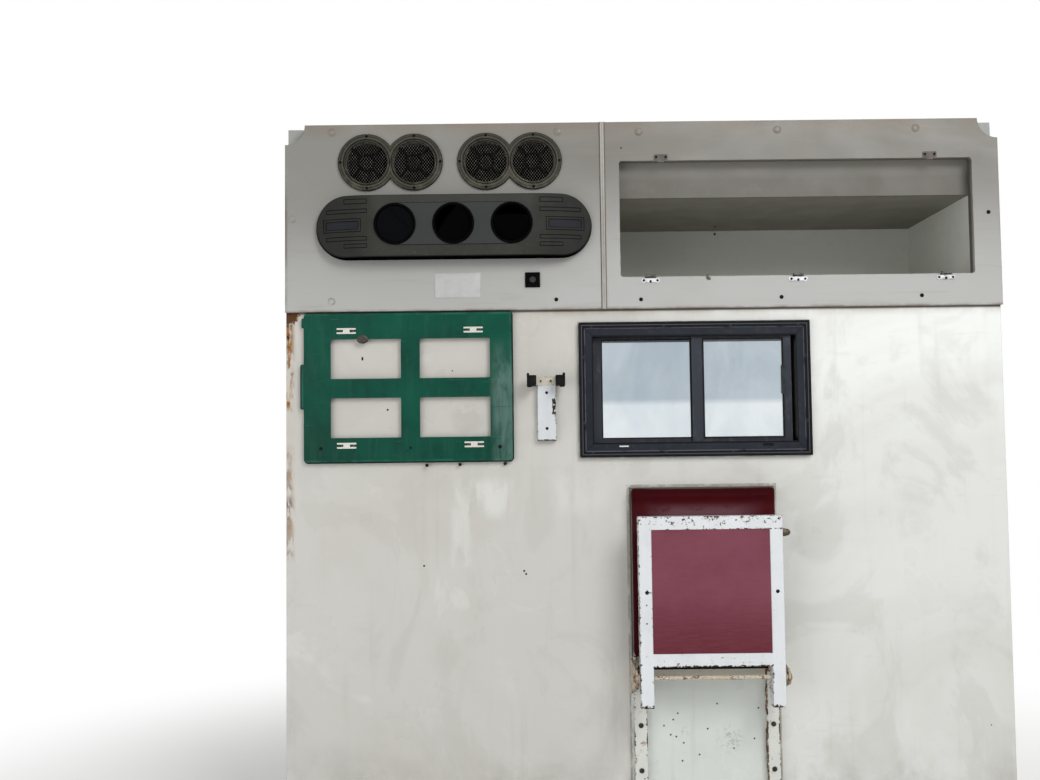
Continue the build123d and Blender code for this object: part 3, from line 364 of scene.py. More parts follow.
def cover_board():
    """Grey-white laminate: painted shade that darkens both boards towards the top and the left board more,
    faint smears, grime in the corners and along the lower edge, with painted shade there too, scuffed rims.
    """
    f = Finish("cover_laminate", coat_weight=0.08, coat_roughness=0.3, specular_ior_level=0.35)
    # Painted shade, with some dirt: both boards darken towards the top, and the left board is darker than
    # the right.
    right = f.mix(f.step(f.z, 1.38, 1.8), (178, 178, 176), (118, 115, 108))
    left = f.mix(f.step(f.z, 1.38, 1.66), (174, 174, 172), (135, 134, 129))
    f.tone = f.mix(f.step(f.x, -0.62, -0.08), left, right)
    f.paint((158, 156, 151), 0.3, f.cloud(0.42, 0.7, 2.4, 5, 0.6, (0.5, 1.3), swirl=1.0))
    f.paint((140, 136, 128), 0.18, f.cloud(0.6, 0.74, 26, 3, 0.5, (0.2, 3)))
    f.paint((104, 88, 68), 0.6, f.edges(0.005, 0.005, 0.2), f.cloud(0.38, 0.6, 34, 5))
    f.paint((122, 106, 86), 0.45, f.step(f.z, 1.8, 1.85), f.cloud(0.3, 0.65, 8, 5))
    # Brown along the lower edge: grime, and painted shade under the boards.
    f.paint((122, 98, 70), 0.6, f.step(f.z, 1.366, 1.357), f.cloud(0.36, 0.62, 16, 5, stretch=(1, 0.3)))
    f.paint(DARK_RUST, 0.6, f.step(f.x, -0.926, -0.934), f.cloud(0.36, 0.6, 24, 5, stretch=(1, 0.3)))
    flecks = f.either(f.specks(6, 0.0022, 0.2), f.specks(17, 0.001, 0.12),
                      f.near((-0.0535, COVER_Y, 1.781), 0.0022, 0.0034))
    f.paint((60, 54, 48), 1, flecks)
    f.surface(0.36, 0.52, 6, 4)
    return f.relief((f.noise(420, 2, 0.5), 0.0002, 0.25), (f.noise(3, 2), 0.003, 0.25))


def chipped_paint(name, paint, rim, specks, rusty=0.3, places=None, bare=RUST):
    """Gloss paint knocked off to dark steel along its rims, at the places given and in scattered specks."""
    f = Finish(name, coat_weight=0.10, coat_roughness=0.25, specular_ior_level=0.4)
    ragged, blots = f.noise(230, 5, 0.64), f.noise(70, 4, 0.6, shift=(3, 1, 2))
    wear = f.both(f.edges(0.006, 0.002, 0.09), rim)
    if places:
        wear = f.either(wear, f.both(places(f), 0.2))
    worn = f.plus(f.both(f.plus(ragged, blots), 0.5), wear)
    chip = f.either(f.step(worn, 0.655, 0.664), f.specks(48, 0.0024, specks),
                    f.specks(130, 0.001, specks, (2, 3, 1)))
    f.tone = f.mix(f.step(f.noise(14, 5, stretch=(1, 0.4)), 0.35, 0.7, 0.0, 0.25), paint, (188, 186, 178))
    f.paint((168, 118, 70), 1, f.step(worn, 0.6, 0.66), rusty)
    f.paint(f.mix(f.both(f.cloud(0.44, 0.6, 44, 4), min(1.0, rusty * 2)), BARE, bare), 1, chip)
    f.colour(f.tone)
    f.roughness(f.mix(chip, f.step(f.noise(30, 4), 0.3, 0.7, 0.3, 0.46), (0.85, 0.85, 0.85, 1)))
    return f.relief((f.noise(320, 3, 0.6), 0.0004, 0.35), (f.both(chip, -1.0), 0.0008, 0.9))


def seat_rims(f):
    """Where the seat's frame is knocked most: top, left side, under the cross member and at its feet."""
    low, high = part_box("seat_frame")
    cross_z = low.z + 100 * MM
    inner = f.band(f.x, low.x + 30 * MM, high.x - 30 * MM, 0.002)
    top = f.both(f.step(f.z, high.z - 0.006, high.z + 0.001), f.step(f.facing("Z", 1), 0.0, 1.0, 1.0, 0.55))
    left = f.both(f.step(f.x, low.x + 0.005, low.x - 0.001), 0.75)
    inner_left = f.both(f.band(f.x, low.x + 0.029, low.x + 0.034, 0.002), 0.35)
    top_inner = f.both(f.band(f.z, high.z - 0.034, high.z - 0.029, 0.002), 0.6)
    under = f.both(f.step(f.z, cross_z + 0.007, cross_z), f.step(f.z, cross_z - 0.004, cross_z - 0.001),
                   inner)
    feet = f.step(f.z, low.z + 0.012, low.z)
    fringe = f.both(f.step(f.z, high.z - 0.04, high.z - 0.006), 0.46)
    lower = f.both(f.band(f.z, cross_z, cross_z + 0.032, 0.004), 0.14)
    legs = f.both(f.step(f.z, cross_z - 0.002, cross_z - 0.012), 0.55)
    inner_feet = f.both(f.either(f.band(f.x, low.x + 0.029, low.x + 0.034, 0.002),
                                 f.band(f.x, high.x - 0.034, high.x - 0.029, 0.002)), legs)
    return f.either(f.both(top, 0.72), left, inner_left, top_inner, under, feet, fringe, lower, inner_feet)


def rail_rims(f):
    """Where the rails have rusted most: along both sides, and at the top under the lugs."""
    low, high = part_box("seat_rails")
    width = 33 * MM
    rims = (low.x, low.x + width, high.x - width, high.x)
    sides = f.either(*[f.band(f.x, x - 0.0035, x + 0.0035, 0.002) for x in rims])
    above = f.step(f.z, high.z - 0.13, high.z - 0.02)
    gold = f.both(f.near((-0.022, RAIL_Y, 0.236), 0.006, 0.026), 0.42)
    worn = f.both(sides, f.cloud(0.3, 0.52, 11, 4, shift=(1, 5, 2)))
    return f.either(worn, f.both(above, 0.8), gold, 0.14)


def rusty_steel(name, paint_left):
    """Steel that has kept much of its cream paint and rusted brown through the rest."""
    f = Finish(name, specular_ior_level=0.3)
    big, fine = f.noise(40, 6, 0.65), f.noise(210, 5, 0.7)
    rims = f.both(f.edges(0.004, 0.002, 0.1), 0.1)
    flaking = f.minus(f.plus(f.both(big, 0.5), f.both(fine, 0.5)), rims)
    paint = f.step(flaking, 0.6 - 0.24 * paint_left, 0.63 - 0.24 * paint_left)
    f.tone = f.mix(f.step(fine, 0.4, 0.66), (128, 84, 50), (72, 48, 36))
    f.paint(f.mix(f.step(big, 0.45, 0.7), (206, 200, 184), (176, 156, 124)), 1, paint)
    f.colour(f.tone)
    f.roughness(f.mix(paint, (0.85, 0.85, 0.85, 1), (0.45, 0.45, 0.45, 1)))
    return f.relief((fine, 0.0008, 0.6), (paint, 0.0005, 0.8))


def plate_paint():
    """Greenish-white enamel on the seat's wall plate, with groups of black specks between the rails, painted
    shade round the back cushion, and a brown strip of rust and painted shadow beside the right rail.
    """
    f = Finish("backplate_enamel", coat_weight=0.2, coat_roughness=0.2, specular_ior_level=0.4)
    f.tone = f.mix(f.cloud(0.35, 0.7, 3, 5, 0.6), (222, 227, 223), (212, 217, 211))
    f.paint((176, 170, 152), 0.22, f.cloud(0.56, 0.8, 10, 4, 0.6, (3.0, 0.2)))
    rubbed = f.both(f.either(f.near((0.199, PLATE_Y, 0.25), 0.012, 0.046),
            f.both(f.near((0.087, PLATE_Y, 0.269), 0.004, 0.022), 0.7)), f.cloud(0.5, 0.58, 120, 4, 0.7))
    f.paint((134, 136, 128), 0.42, rubbed)
    places = ((0.169, 0.338), (0.056, 0.299), (0.068, 0.315), (0.032, 0.284), (0.049, 0.261), (0.063, 0.256),
              (0.082, 0.240), (0.122, 0.210), (0.144, 0.275), (0.210, 0.225), (0.263, 0.249), (0.275, 0.326),
              (0.078, 0.195))
    flecks = f.either(f.specks(13, 0.0022, 0.4, (5, 2, 1)), f.specks(31, 0.001, 0.16, (1, 4, 2)))
    flecks = f.flecks_at(places, PLATE_Y, flecks, 0.0018, 0.0028)
    # Painted shade: the plate's narrow border round the back cushion is darker, and a brown line at its very
    # edge is dirt and painted shadow.
    depth = f.depth("seat_backplate")
    border = f.both(f.step(f.z, 0.44, 0.47), f.step(depth, 0.0085, 0.0065))
    f.paint((158, 152, 140), 0.75, border)
    f.paint((62, 48, 42), 0.85, border, f.step(depth, 0.0022, 0.0036))
    # Brown strip beside the right rail: rust, and painted shadow at the rail's edge.
    right_side = f.both(f.step(f.x, 0.3245, 0.3285), f.step(f.z, 0.44, 0.4))
    f.paint((84, 66, 50), 0.9, right_side, f.cloud(0.3, 0.5, 24, 5, stretch=(1, 0.3)))
    edge = f.both(f.edges(0.004, 0.004, 0.12), f.cloud(0.46, 0.58, 60, 5))
    f.paint(f.mix(f.cloud(0.45, 0.6, 40, 3), BARE, DARK_RUST), 1, f.either(flecks, f.both(edge, 0.8)))
    f.surface(0.24, 0.42, 8, 4)
    return f.relief((f.noise(30, 3), 0.0008, 0.25), (f.both(flecks, -1.0), 0.0005, 0.8))


def moulded_plastic(name, tone, second, roughness, dust, scuff, shine=0.35):
    """Grained moulding with uneven fading, dust and paler rubbed edges, ready for more colours."""
    f = Finish(name, specular_ior_level=shine)
    f.tone = f.mix(f.cloud(0.32, 0.7, 5, 5, 0.6), tone, second)
    f.paint((120, 115, 104), 1, f.cloud(0.52, 0.78, 70, 5, 0.7), dust)
    f.paint(scuff, 0.5, f.edges(0.003, 0.02, 0.25), f.cloud(0.36, 0.6, 55, 4))
    f.surface(roughness - 0.06, roughness + 0.08, 20, 4)
    f.relief((f.noise(900, 2, 0.6), 0.0004, 0.5), (f.noise(12, 3), 0.0006, 0.2))
    return f


def fascia_plastic():
    """Olive-grey grained moulding: dirty grooves, ends darkened as painted shade, a black lower rim,
    underside and plinth that are painted shade, two bare label recesses in blue-black.
    """
    f = moulded_plastic("fascia_moulding", (57, 58, 54), (50, 51, 47), 0.56, dust=0.14, scuff=(86, 86, 78),
                        shine=0.1)
    low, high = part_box("vent_fascia")
    middle = (low + high) / 2
    reach = (high.z - low.z) / 2
    from_middle = f.apart(f.x, middle.x)
    # Depth below the curved face: flat between the ends, then round at this radius
    end_radius = 0.4492
    past = f.math("MAXIMUM", f.minus(from_middle, 0.19), 0.0)
    fall = f.minus(end_radius, f.math("SQRT", f.minus(end_radius ** 2, f.both(past, past))))
    sunk = f.minus(f.y, f.plus(fall, low.y + 0.0012))
    # Distance in from the stadium's outline
    along = f.math("MAXIMUM", f.minus(from_middle, (high.x - low.x) / 2 - reach), 0.0)
    rise = f.minus(f.z, middle.z)
    inward = f.minus(reach, f.math("SQRT", f.plus(f.both(along, along), f.both(rise, rise))))
    # Painted shade: darker towards both ends, where the face curves back.
    f.paint((38, 39, 36), 0.75, f.step(from_middle, 0.19, 0.27))
    f.paint((70, 71, 66), 0.4, f.patch((-0.7, 1.6), (-0.29, 1.66), 0.02))
    f.paint((58, 61, 61), 0.8, f.step(sunk, -0.0004, -0.0009), f.step(from_middle, 0.2, 0.15))
    ledge = f.band(f.apart(f.z, middle.z + 0.005), 0.0536, 0.0556, 0.0006)
    f.paint((20, 21, 19), 0.75, ledge, f.step(from_middle, 0.152, 0.148))
    groove = f.both(f.step(sunk, 0.0005, 0.001), f.step(inward, 0.006, 0.008))
    f.paint((14, 14, 12), 0.9, groove)
    # Painted shade: black along the lower rim, on the faces that look down and on the plinth set back
    # behind, where shade falls under the fascia.
    f.paint((6, 6, 6), 0.9, f.step(inward, 0.007, 0.002), f.step(rise, 0.01, -0.03))
    under = f.facing("Z", -1)
    f.paint((4, 4, 4), 0.95, under)
    f.level("Specular IOR Level", under, 0.1, 0.0)
    f.paint((6, 6, 6), 1, f.step(f.y, -0.034, -0.031))
    label = f.minus(from_middle, 0.2885)
    for half_x, half_z, tone in ((0.0435, 0.0113, (8, 8, 8)), (0.0415, 0.0093, (36, 37, 43))):
        f.paint(tone, 1, f.band(label, -half_x, half_x, 0.0003),
                f.band(rise, -half_z + 0.0035, half_z + 0.0035, 0.0003))
    return f.repainted()


def grille_plastic():
    """Olive plastic of the grilles: turned ridges, chalky rubbed rims that grow paler towards the bottom as
    painted light, dirt in the grooves, painted shade at the foot of the moulding and on the spokes inside
    the rings.
    """
    f = moulded_plastic("grille_moulding", (54, 53, 46), (42, 41, 35), 0.5, dust=0.25, scuff=(112, 110, 96),
                        shine=0.12)
    # Chalky rubbing, with painted light: it grows paler towards the bottom of the grilles.
    chalk_and_highlight = f.both(f.cloud(0.46, 0.66, 22, 5, 0.65), f.step(f.z, 1.8, 1.69))
    f.paint((112, 108, 92), 0.55, chalk_and_highlight)
    radius = f.least(*[f.distance(centre) for centre in RING_CENTRES])
    f.paint((92, 90, 78), 0.55, f.band(radius, 0.0632, 0.0662, 0.0006))
    f.paint((20, 20, 17), 0.7, f.band(radius, 0.0674, 0.0682, 0.0003))
    f.paint((84, 82, 70), 0.45, f.band(radius, 0.0702, 0.0722, 0.0005))
    f.paint((20, 19, 16), 0.8, f.step(radius, 0.0738, 0.0748))
    # Painted shade: darker where the moulding sits back at the cover's face, and near black within the ring,
    # where the spokes sit back in the dark.
    f.paint((12, 12, 10), 0.8, f.step(f.y, COVER_Y - 0.0055, COVER_Y - 0.0025))
    inside = f.step(radius, 0.056, 0.0545)
    f.paint((9, 9, 8), 0.97, inside)
    f.paint((44, 42, 37), 0.4, inside, f.edges(0.002, 0.01, 0.2))
    f.level("Specular IOR Level", inside, 0.12, 0.03)
    return f.repainted()


def mesh_metal(name, tone, second, glint):
    """Expanded mesh: dull dusty strands with painted highlights in bright spots."""
    f = Finish(name, specular_ior_level=0.02)
    f.tone = f.mix(f.cloud(0.36, 0.64, 34, 5, 0.6), tone, second)
    f.paint(glint, 0.5, f.cloud(0.48, 0.6, 170, 3, 0.6), f.cloud(0.36, 0.6, 26, 4, 0.6, shift=(2, 3, 4)))
    f.surface(0.4, 0.6, 90, 4)
    return f.relief((f.noise(700, 2), 0.0001, 0.4))


def case_plastic():
    """Blower case: dusty black outside, and painted shade, near black without reflection, on the faces that
    look out through the grilles.
    """
    f = moulded_plastic("case_moulding", (20, 20, 22), (30, 30, 31), 0.55, dust=0.3, scuff=(70, 70, 70),
                        shine=0.2)
    # Painted shade: the faces that look out through the grilles are painted near black and lose their
    # reflection.
    shaded_front = f.facing("Y", -1)
    f.paint((3, 3, 3), 0.95, shaded_front)
    f.level("Specular IOR Level", shaded_front, 0.2, 0.0)
    return f.repainted()


def flap_plastic():
    """Outlet flaps: plain black, with a blue-black painted reflection on the left one, which is shut."""
    f = moulded_plastic("flap_moulding", (3, 3, 3), (5, 5, 5), 0.6, dust=0.0, scuff=(24, 24, 26), shine=0.01)
    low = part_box("outlet_flaps")[0]
    # Painted reflection: blue-black on the shut left flap.
    f.paint((13, 14, 17), 0.85, f.step(f.x, low.x + 0.12, low.x + 0.105))
    return f.repainted()


def rack_gelcoat():
    """Dark green moulding: mottled pigment, pale scuffs down its right side, a painted highlight inside the
    rim, a dark rim that is dirt and painted shadow, and knocks.
    """
    f = Finish("rack_gelcoat", coat_weight=0.04, coat_roughness=0.3, specular_ior_level=0.12)
    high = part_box("equipment_rack")[1]
    depth = f.depth("equipment_rack")
    f.tone = f.mix(f.cloud(0.35, 0.68, 4, 5, 0.6, swirl=0.6), (0, 76, 58), (0, 62, 48))
    f.paint((36, 98, 80), 0.22, f.cloud(0.52, 0.74, 7, 6, 0.66, (1.5, 0.7), swirl=1.2))
    right = f.both(f.step(f.x, high.x - 0.066, high.x - 0.04), f.step(f.z, 1.3, 1.18))
    f.paint((0, 50, 38), 0.45, f.cloud(0.5, 0.66, 3.2, 4, 0.6, shift=(4, 4, 1), swirl=0.8))
    film = f.cloud(0.34, 0.6, 11, 5, 0.62, (1.4, 0.6), swirl=1.0)
    f.paint((124, 150, 144), 1, right, f.plus(f.both(film, 0.34), 0.1))
    runs = f.cloud(0.5, 0.64, 26, 5, 0.65, (2.0, 0.3))
    f.paint((88, 128, 114), 1, runs, f.plus(f.both(right, 0.14), 0.05))
    dark_runs = f.cloud(0.52, 0.68, 20, 5, 0.65, (2.2, 0.3), shift=(7, 1, 4))
    f.paint((2, 42, 33), 1, dark_runs, f.plus(f.both(right, 0.2), 0.22))
    f.paint((96, 132, 116), 0.25, f.cloud(0.7, 0.74, 44, 3, 0.5, (0.3, 6)))
    # Painted light: a paler band inside the rim where its bevel catches the light, and a near-black outline
    # at the rim that is dirt and painted shadow.
    f.paint((58, 118, 100), 0.35, f.band(depth, 0.004, 0.0085, 0.001), f.cloud(0.44, 0.62, 16, 5))
    f.paint((2, 16, 13), 0.9, f.step(f.plus(depth, f.both(f.noise(24, 4), -0.004)), 0.0024, 0.0006))
    f.paint((60, 108, 92), 0.35, f.edges(0.003, 0.02, 0.25), f.cloud(0.42, 0.6, 40, 5))
    f.paint((14, 20, 17), 1, f.specks(34, 0.002, 0.12))
    f.surface(0.34, 0.52, 9, 4)
    return f.relief((f.noise(3.5, 3, 0.5), 0.004, 0.3), (f.noise(110, 3, 0.6), 0.0003, 0.25))


def vinyl(name, tone, deep, pale, roughness, wrinkle=0.0015, weave=0.0, shine=0.3, shaded=None, foot=None):
    """Upholstery vinyl: pebble grain or a fine level weave, uneven fading, rubbed spots and soft pulls, and
    on a shaded cushion painted shade round its edge and painted highlights on its crown.
    """
    f = Finish(name, specular_ior_level=shine)
    f.tone = f.mix(f.cloud(0.32, 0.7, 6, 5, 0.6), tone, deep)
    f.paint(pale, 1, f.step(f.noise(2.6, 3, 0.5, shift=(2, 5, 1)), 0.5, 0.72, 0.0, 0.45))
    f.paint((176, 140, 136), 1, f.specks(14, 0.0012, 0.06))
    if foot:
        f.paint(foot, 0.9, f.step(f.z, 0.66, 0.49))
    # On a shaded cushion: painted shade round its outer edge, and painted highlights on its crown and in a
    # pink sheen just above the seat's frame.
    if shaded:
        side, level = f.inset(shaded)
        depth = f.least(side, level)
        f.paint(deep, 0.75, f.step(depth, 0.034, 0.006))
        crown_highlight = f.both(f.step(level, 0.026, 0.05), f.step(f.z, 0.75, 0.8))
        f.paint((104, 44, 50), 0.22, crown_highlight)
        sheen = f.both(f.step(f.z, 0.856, 0.828), f.step(f.z, 0.75, 0.8), f.band(f.x, 0.02, 0.25, 0.045))
        f.paint((120, 84, 93), 0.8, sheen, f.cloud(0.25, 0.5, 24, 4, 0.6, (1, 2)))
        f.put(f.shader.inputs["Specular IOR Level"], f.step(depth, 0.026, 0.046, 0.012, shine))
    threads = f.noise(520, 2, 0.5, (0.06, 1))
    f.paint(pale, 1, f.step(threads, 0.4, 0.62), weave)
    pebble = f.cells(620, "SMOOTH_F1").outputs["Distance"]
    f.paint(deep, 1, f.step(pebble, 0.3, 0.75, 0.0, 0.18))
    f.surface(roughness - 0.05, roughness + 0.08, 18, 5, 0.6)
    return f.relief((f.noise(9, 3, 0.5, (1, 0.6), swirl=0.6), wrinkle, 0.5), (pebble, 0.00035, 0.55))


def bright_metal(name, tone, roughness, tarnish=0.3, metallic=1.0):
    """Plated steel with fine brushing, fingerprints and brown tarnish in the corners."""
    f = Finish(name, metallic=metallic)
    brown = f.both(f.cloud(0.46, 0.7, 90, 5, 0.65), tarnish)
    f.colour(f.mix(brown, tone, (96, 72, 50)))
    f.roughness(f.step(f.noise(60, 4), 0.3, 0.7, roughness - 0.05, roughness + 0.14))
    return f.relief((f.noise(260, 3, 0.6, (0.2, 1)), 0.0002, 0.35))


def hinge_plate():
    """Bright hinge leaves whose knuckle is painted dark."""
    f = Finish("hinge_plate", metallic=0.6, specular_ior_level=0.3)
    f.tone = f.mix(f.cloud(0.46, 0.7, 90, 5, 0.65), (200, 200, 204), (150, 146, 140))
    # The knuckle is painted dark.
    dark_knuckle = f.step(f.z, 1.435, 1.4362)
    f.paint(f.mix(f.cloud(0.42, 0.62, 160, 4), (26, 25, 24), (92, 90, 86)), 0.9, dark_knuckle)
    f.surface(0.34, 0.52, 60, 4)
    return f.relief((f.noise(260, 3, 0.6, (0.2, 1)), 0.0002, 0.35))


def galvanised():
    """Zinc-plated sheet with spangle, white bloom and road dirt along the floor."""
    f = Finish("zinc_plate", metallic=0.7)
    spangle = f.node("ShaderNodeSeparateColor")
    f.put(spangle.inputs[0], f.cells(70).outputs["Color"])
    f.tone = f.mix(spangle.outputs[0], (150, 154, 156), (184, 187, 188))
    f.paint((206, 206, 198), 0.6, f.cloud(0.5, 0.76, 9, 6, 0.66))
    f.paint(GRIME, 0.6, f.step(f.z, 0.05, 0.0), f.cloud(0.3, 0.6, 16, 5))
    f.colour(f.tone)
    f.roughness(f.step(spangle.outputs[1], 0.0, 1.0, 0.38, 0.6))
    return f.relief((f.noise(200, 3), 0.0002, 0.3))


def joint_plastic():
    """Cover strip over the joint of the two boards, with a brown line of dirt down each side."""
    f = moulded_plastic("strip_plastic", (172, 170, 164), (158, 155, 148), 0.45, dust=0.2,
                        scuff=(104, 92, 76))
    side = f.inset("joint_strip")[0]
    f.paint((70, 52, 38), 0.9, f.step(side, 0.0034, 0.0008), f.cloud(0.2, 0.5, 20, 5, stretch=(1, 0.3)))
    return f.repainted()


def label_stock():
    """Thin plastic plate: flat grey-white with a dulled border."""
    f = Finish("label_stock", specular_ior_level=0.3)
    border = 3 * MM
    inner = f.patch((LABEL_X - LABEL_HALF_X + border, LABEL_Z - LABEL_HALF_Z + border),
                    (LABEL_X + LABEL_HALF_X - border, LABEL_Z + LABEL_HALF_Z - border), 0.0006)
    f.tone = f.mix(f.cloud(0.35, 0.65, 40, 4), (190, 190, 189), (183, 183, 182))
    f.paint((158, 158, 156), 0.5, f.minus(1.0, inner))
    f.surface(0.4, 0.52, 60, 3)
    return f.relief((f.noise(260, 2), 0.0001, 0.3))


def laminate(name, tone, second, top_painted_light=None):
    """Faced board inside the locker: dull, wiped dusty and bruised along its edges, and, where asked,
    painted lighter at its top as painted light against the shade there.
    """
    f = Finish(name, specular_ior_level=0.25)
    f.tone = f.mix(f.cloud(0.3, 0.7, 2.2, 5, 0.6, (0.4, 1)), tone, second)
    # Painted light: the top of the board is painted lighter to offset the shade under the locker's top lip.
    if top_painted_light:
        f.paint(top_painted_light, 0.9, f.step(f.z, 1.7, 1.744))
    f.paint((150, 147, 138), 0.12, f.cloud(0.5, 0.76, 30, 6, 0.7))
    f.paint((96, 80, 60), 0.5, f.edges(0.004, 0.01, 0.2), f.cloud(0.4, 0.62, 50, 4))
    f.paint((52, 49, 44), 1, f.specks(20, 0.0016, 0.15))
    f.surface(0.42, 0.6, 12, 4)
    return f.relief((f.noise(300, 2), 0.0002, 0.3))


def window_section():
    """Dark window section: black rubber round its edge, a ridge and an inner bevel painted pale as
    highlights, a groove and the inner edge painted black as shade, mitred corners, chalky scratches.
    """
    f = Finish("window_section", specular_ior_level=0.12)
    side, level = f.inset("window_frame")
    depth = f.least(side, level)
    f.tone = f.mix(f.cloud(0.3, 0.7, 4, 5, stretch=(1, 0.6)), (31, 34, 42), (42, 45, 53))
    f.paint((92, 94, 98), 0.16, f.cloud(0.5, 0.72, 46, 6, 0.7))
    f.paint((92, 95, 102), 0.45, f.edges(0.0022, 0.02, 0.25), f.cloud(0.34, 0.6, 36, 4))
    # Painted light: a ridge and an inner bevel painted pale as highlights, a black groove between them and
    # black along the inner edge as painted shade.
    f.paint((76, 79, 88), 1, f.band(depth, 0.0058, 0.009))
    f.paint((8, 8, 10), 1, f.band(depth, 0.009, 0.0142))
    f.paint((96, 99, 108), 0.9, f.band(depth, 0.0142, 0.017), f.cloud(0.32, 0.52, 24, 4))
    f.paint((6, 6, 8), 0.9, f.step(depth, 0.033, 0.0345))
    mitre = f.both(f.step(f.apart(side, level), 0.001, 0.0004), f.band(depth, 0.014, 0.04, 0.001))
    f.paint((8, 8, 9), 1, mitre, f.facing("Y", -1))
    f.surface(0.36, 0.52, 16, 4)
    return f.relief((f.noise(500, 2, stretch=(0.1, 0.1)), 0.0001, 0.3), (f.both(mitre, -1.0), 0.0006, 0.8))


def sash_section():
    """Grey sash section: purple-grey anodising with pale knocks, and a green-grey finger pull."""
    f = Finish("sash_section", specular_ior_level=0.14)
    f.tone = f.mix(f.cloud(0.3, 0.7, 5, 5, stretch=(1, 0.4)), (40, 43, 51), (54, 57, 65))
    f.paint((98, 100, 104), 0.3, f.cloud(0.5, 0.72, 44, 6, 0.7, (1, 0.5)))
    f.paint((124, 126, 132), 0.55, f.edges(0.0022, 0.02, 0.25), f.cloud(0.34, 0.6, 36, 4))
    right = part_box("window_sash_right")[1].x
    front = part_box("window_sash_right")[0].y
    pull = f.both(f.patch((right - 0.03, 1.1305), (right - 0.0175, 1.2065), 0.0003),
                  f.step(f.y, front + 0.0042, front + 0.0036))
    f.paint(f.mix(f.cloud(0.4, 0.6, 70, 4), (48, 54, 54), (34, 38, 39)), 1, pull)
    f.surface(0.34, 0.5, 16, 4)
    return f.relief((f.noise(500, 2, stretch=(0.1, 0.1)), 0.0001, 0.3))


def window_glass():
    """Toughened glass, blue-grey with an old film of dust that greys what is behind it, and tinted paler
    below a level line as painted light.
    """
    f = Finish("sliding_glass", roughness=0.03, transmission_weight=0.90, ior=1.45, specular_ior_level=0.4)
    film = f.cloud(0.35, 0.68, 5, 5, 0.6, (1, 0.6), swirl=0.8)
    # Painted light: below this line the glass is tinted paler, standing in for the brighter view behind it.
    lit_low_part = f.step(f.z, 1.124, 1.102)
    f.colour(f.mix(lit_low_part, f.mix(film, (190, 201, 209), (172, 185, 195)),
                   f.mix(film, (232, 238, 240), (214, 224, 230))))
    f.roughness(f.step(f.noise(9, 5, 0.6, swirl=1.0), 0.5, 0.75, 0.02, 0.16))
    return f.material


def rubber(name, ribs=0.0):
    """Perished rubber, greyed by dust, with level ribs where it grips."""
    f = Finish(name, roughness=0.75, specular_ior_level=0.15)
    f.tone = f.mix(f.cloud(0.4, 0.7, 60, 5, 0.65), (15, 15, 15), (30, 29, 28))
    f.paint((82, 78, 72), 0.3, f.edges(0.002))
    f.surface(0.6, 0.85, 50, 4)
    wave = f.math("SINE", f.both(f.z, 2 * math.pi / 0.0045))
    return f.relief((f.noise(500, 3), 0.0003, 0.5), (wave, ribs, 0.8))


def bracket_rims(f):
    """The tool bracket's knocks: a long chip on its right, its lower lip and its outline."""
    low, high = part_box("tool_bracket")
    chip = f.both(f.patch((high.x - 0.0095, 1.084), (high.x - 0.001, 1.126), 0.002),
                  f.cloud(0.36, 0.48, 90, 3))
    lip = f.step(f.z, low.z + 0.006, low.z + 0.001)
    outline = f.both(f.step(f.inset("tool_bracket")[0], 0.003, 0.0005), 0.62)
    return f.either(f.both(chip, 1.6), lip, outline)


def flat_dark(name, tone):
    """Deep socket or slot: painted near black as the shade inside it, with a trace of dirt."""
    f = Finish(name, roughness=0.7, specular_ior_level=0.12)
    f.colour(f.mix(f.cloud(0.4, 0.7, 200, 3), tone, (26, 25, 23)))
    return f.relief((f.noise(600, 2), 0.0002, 0.4))


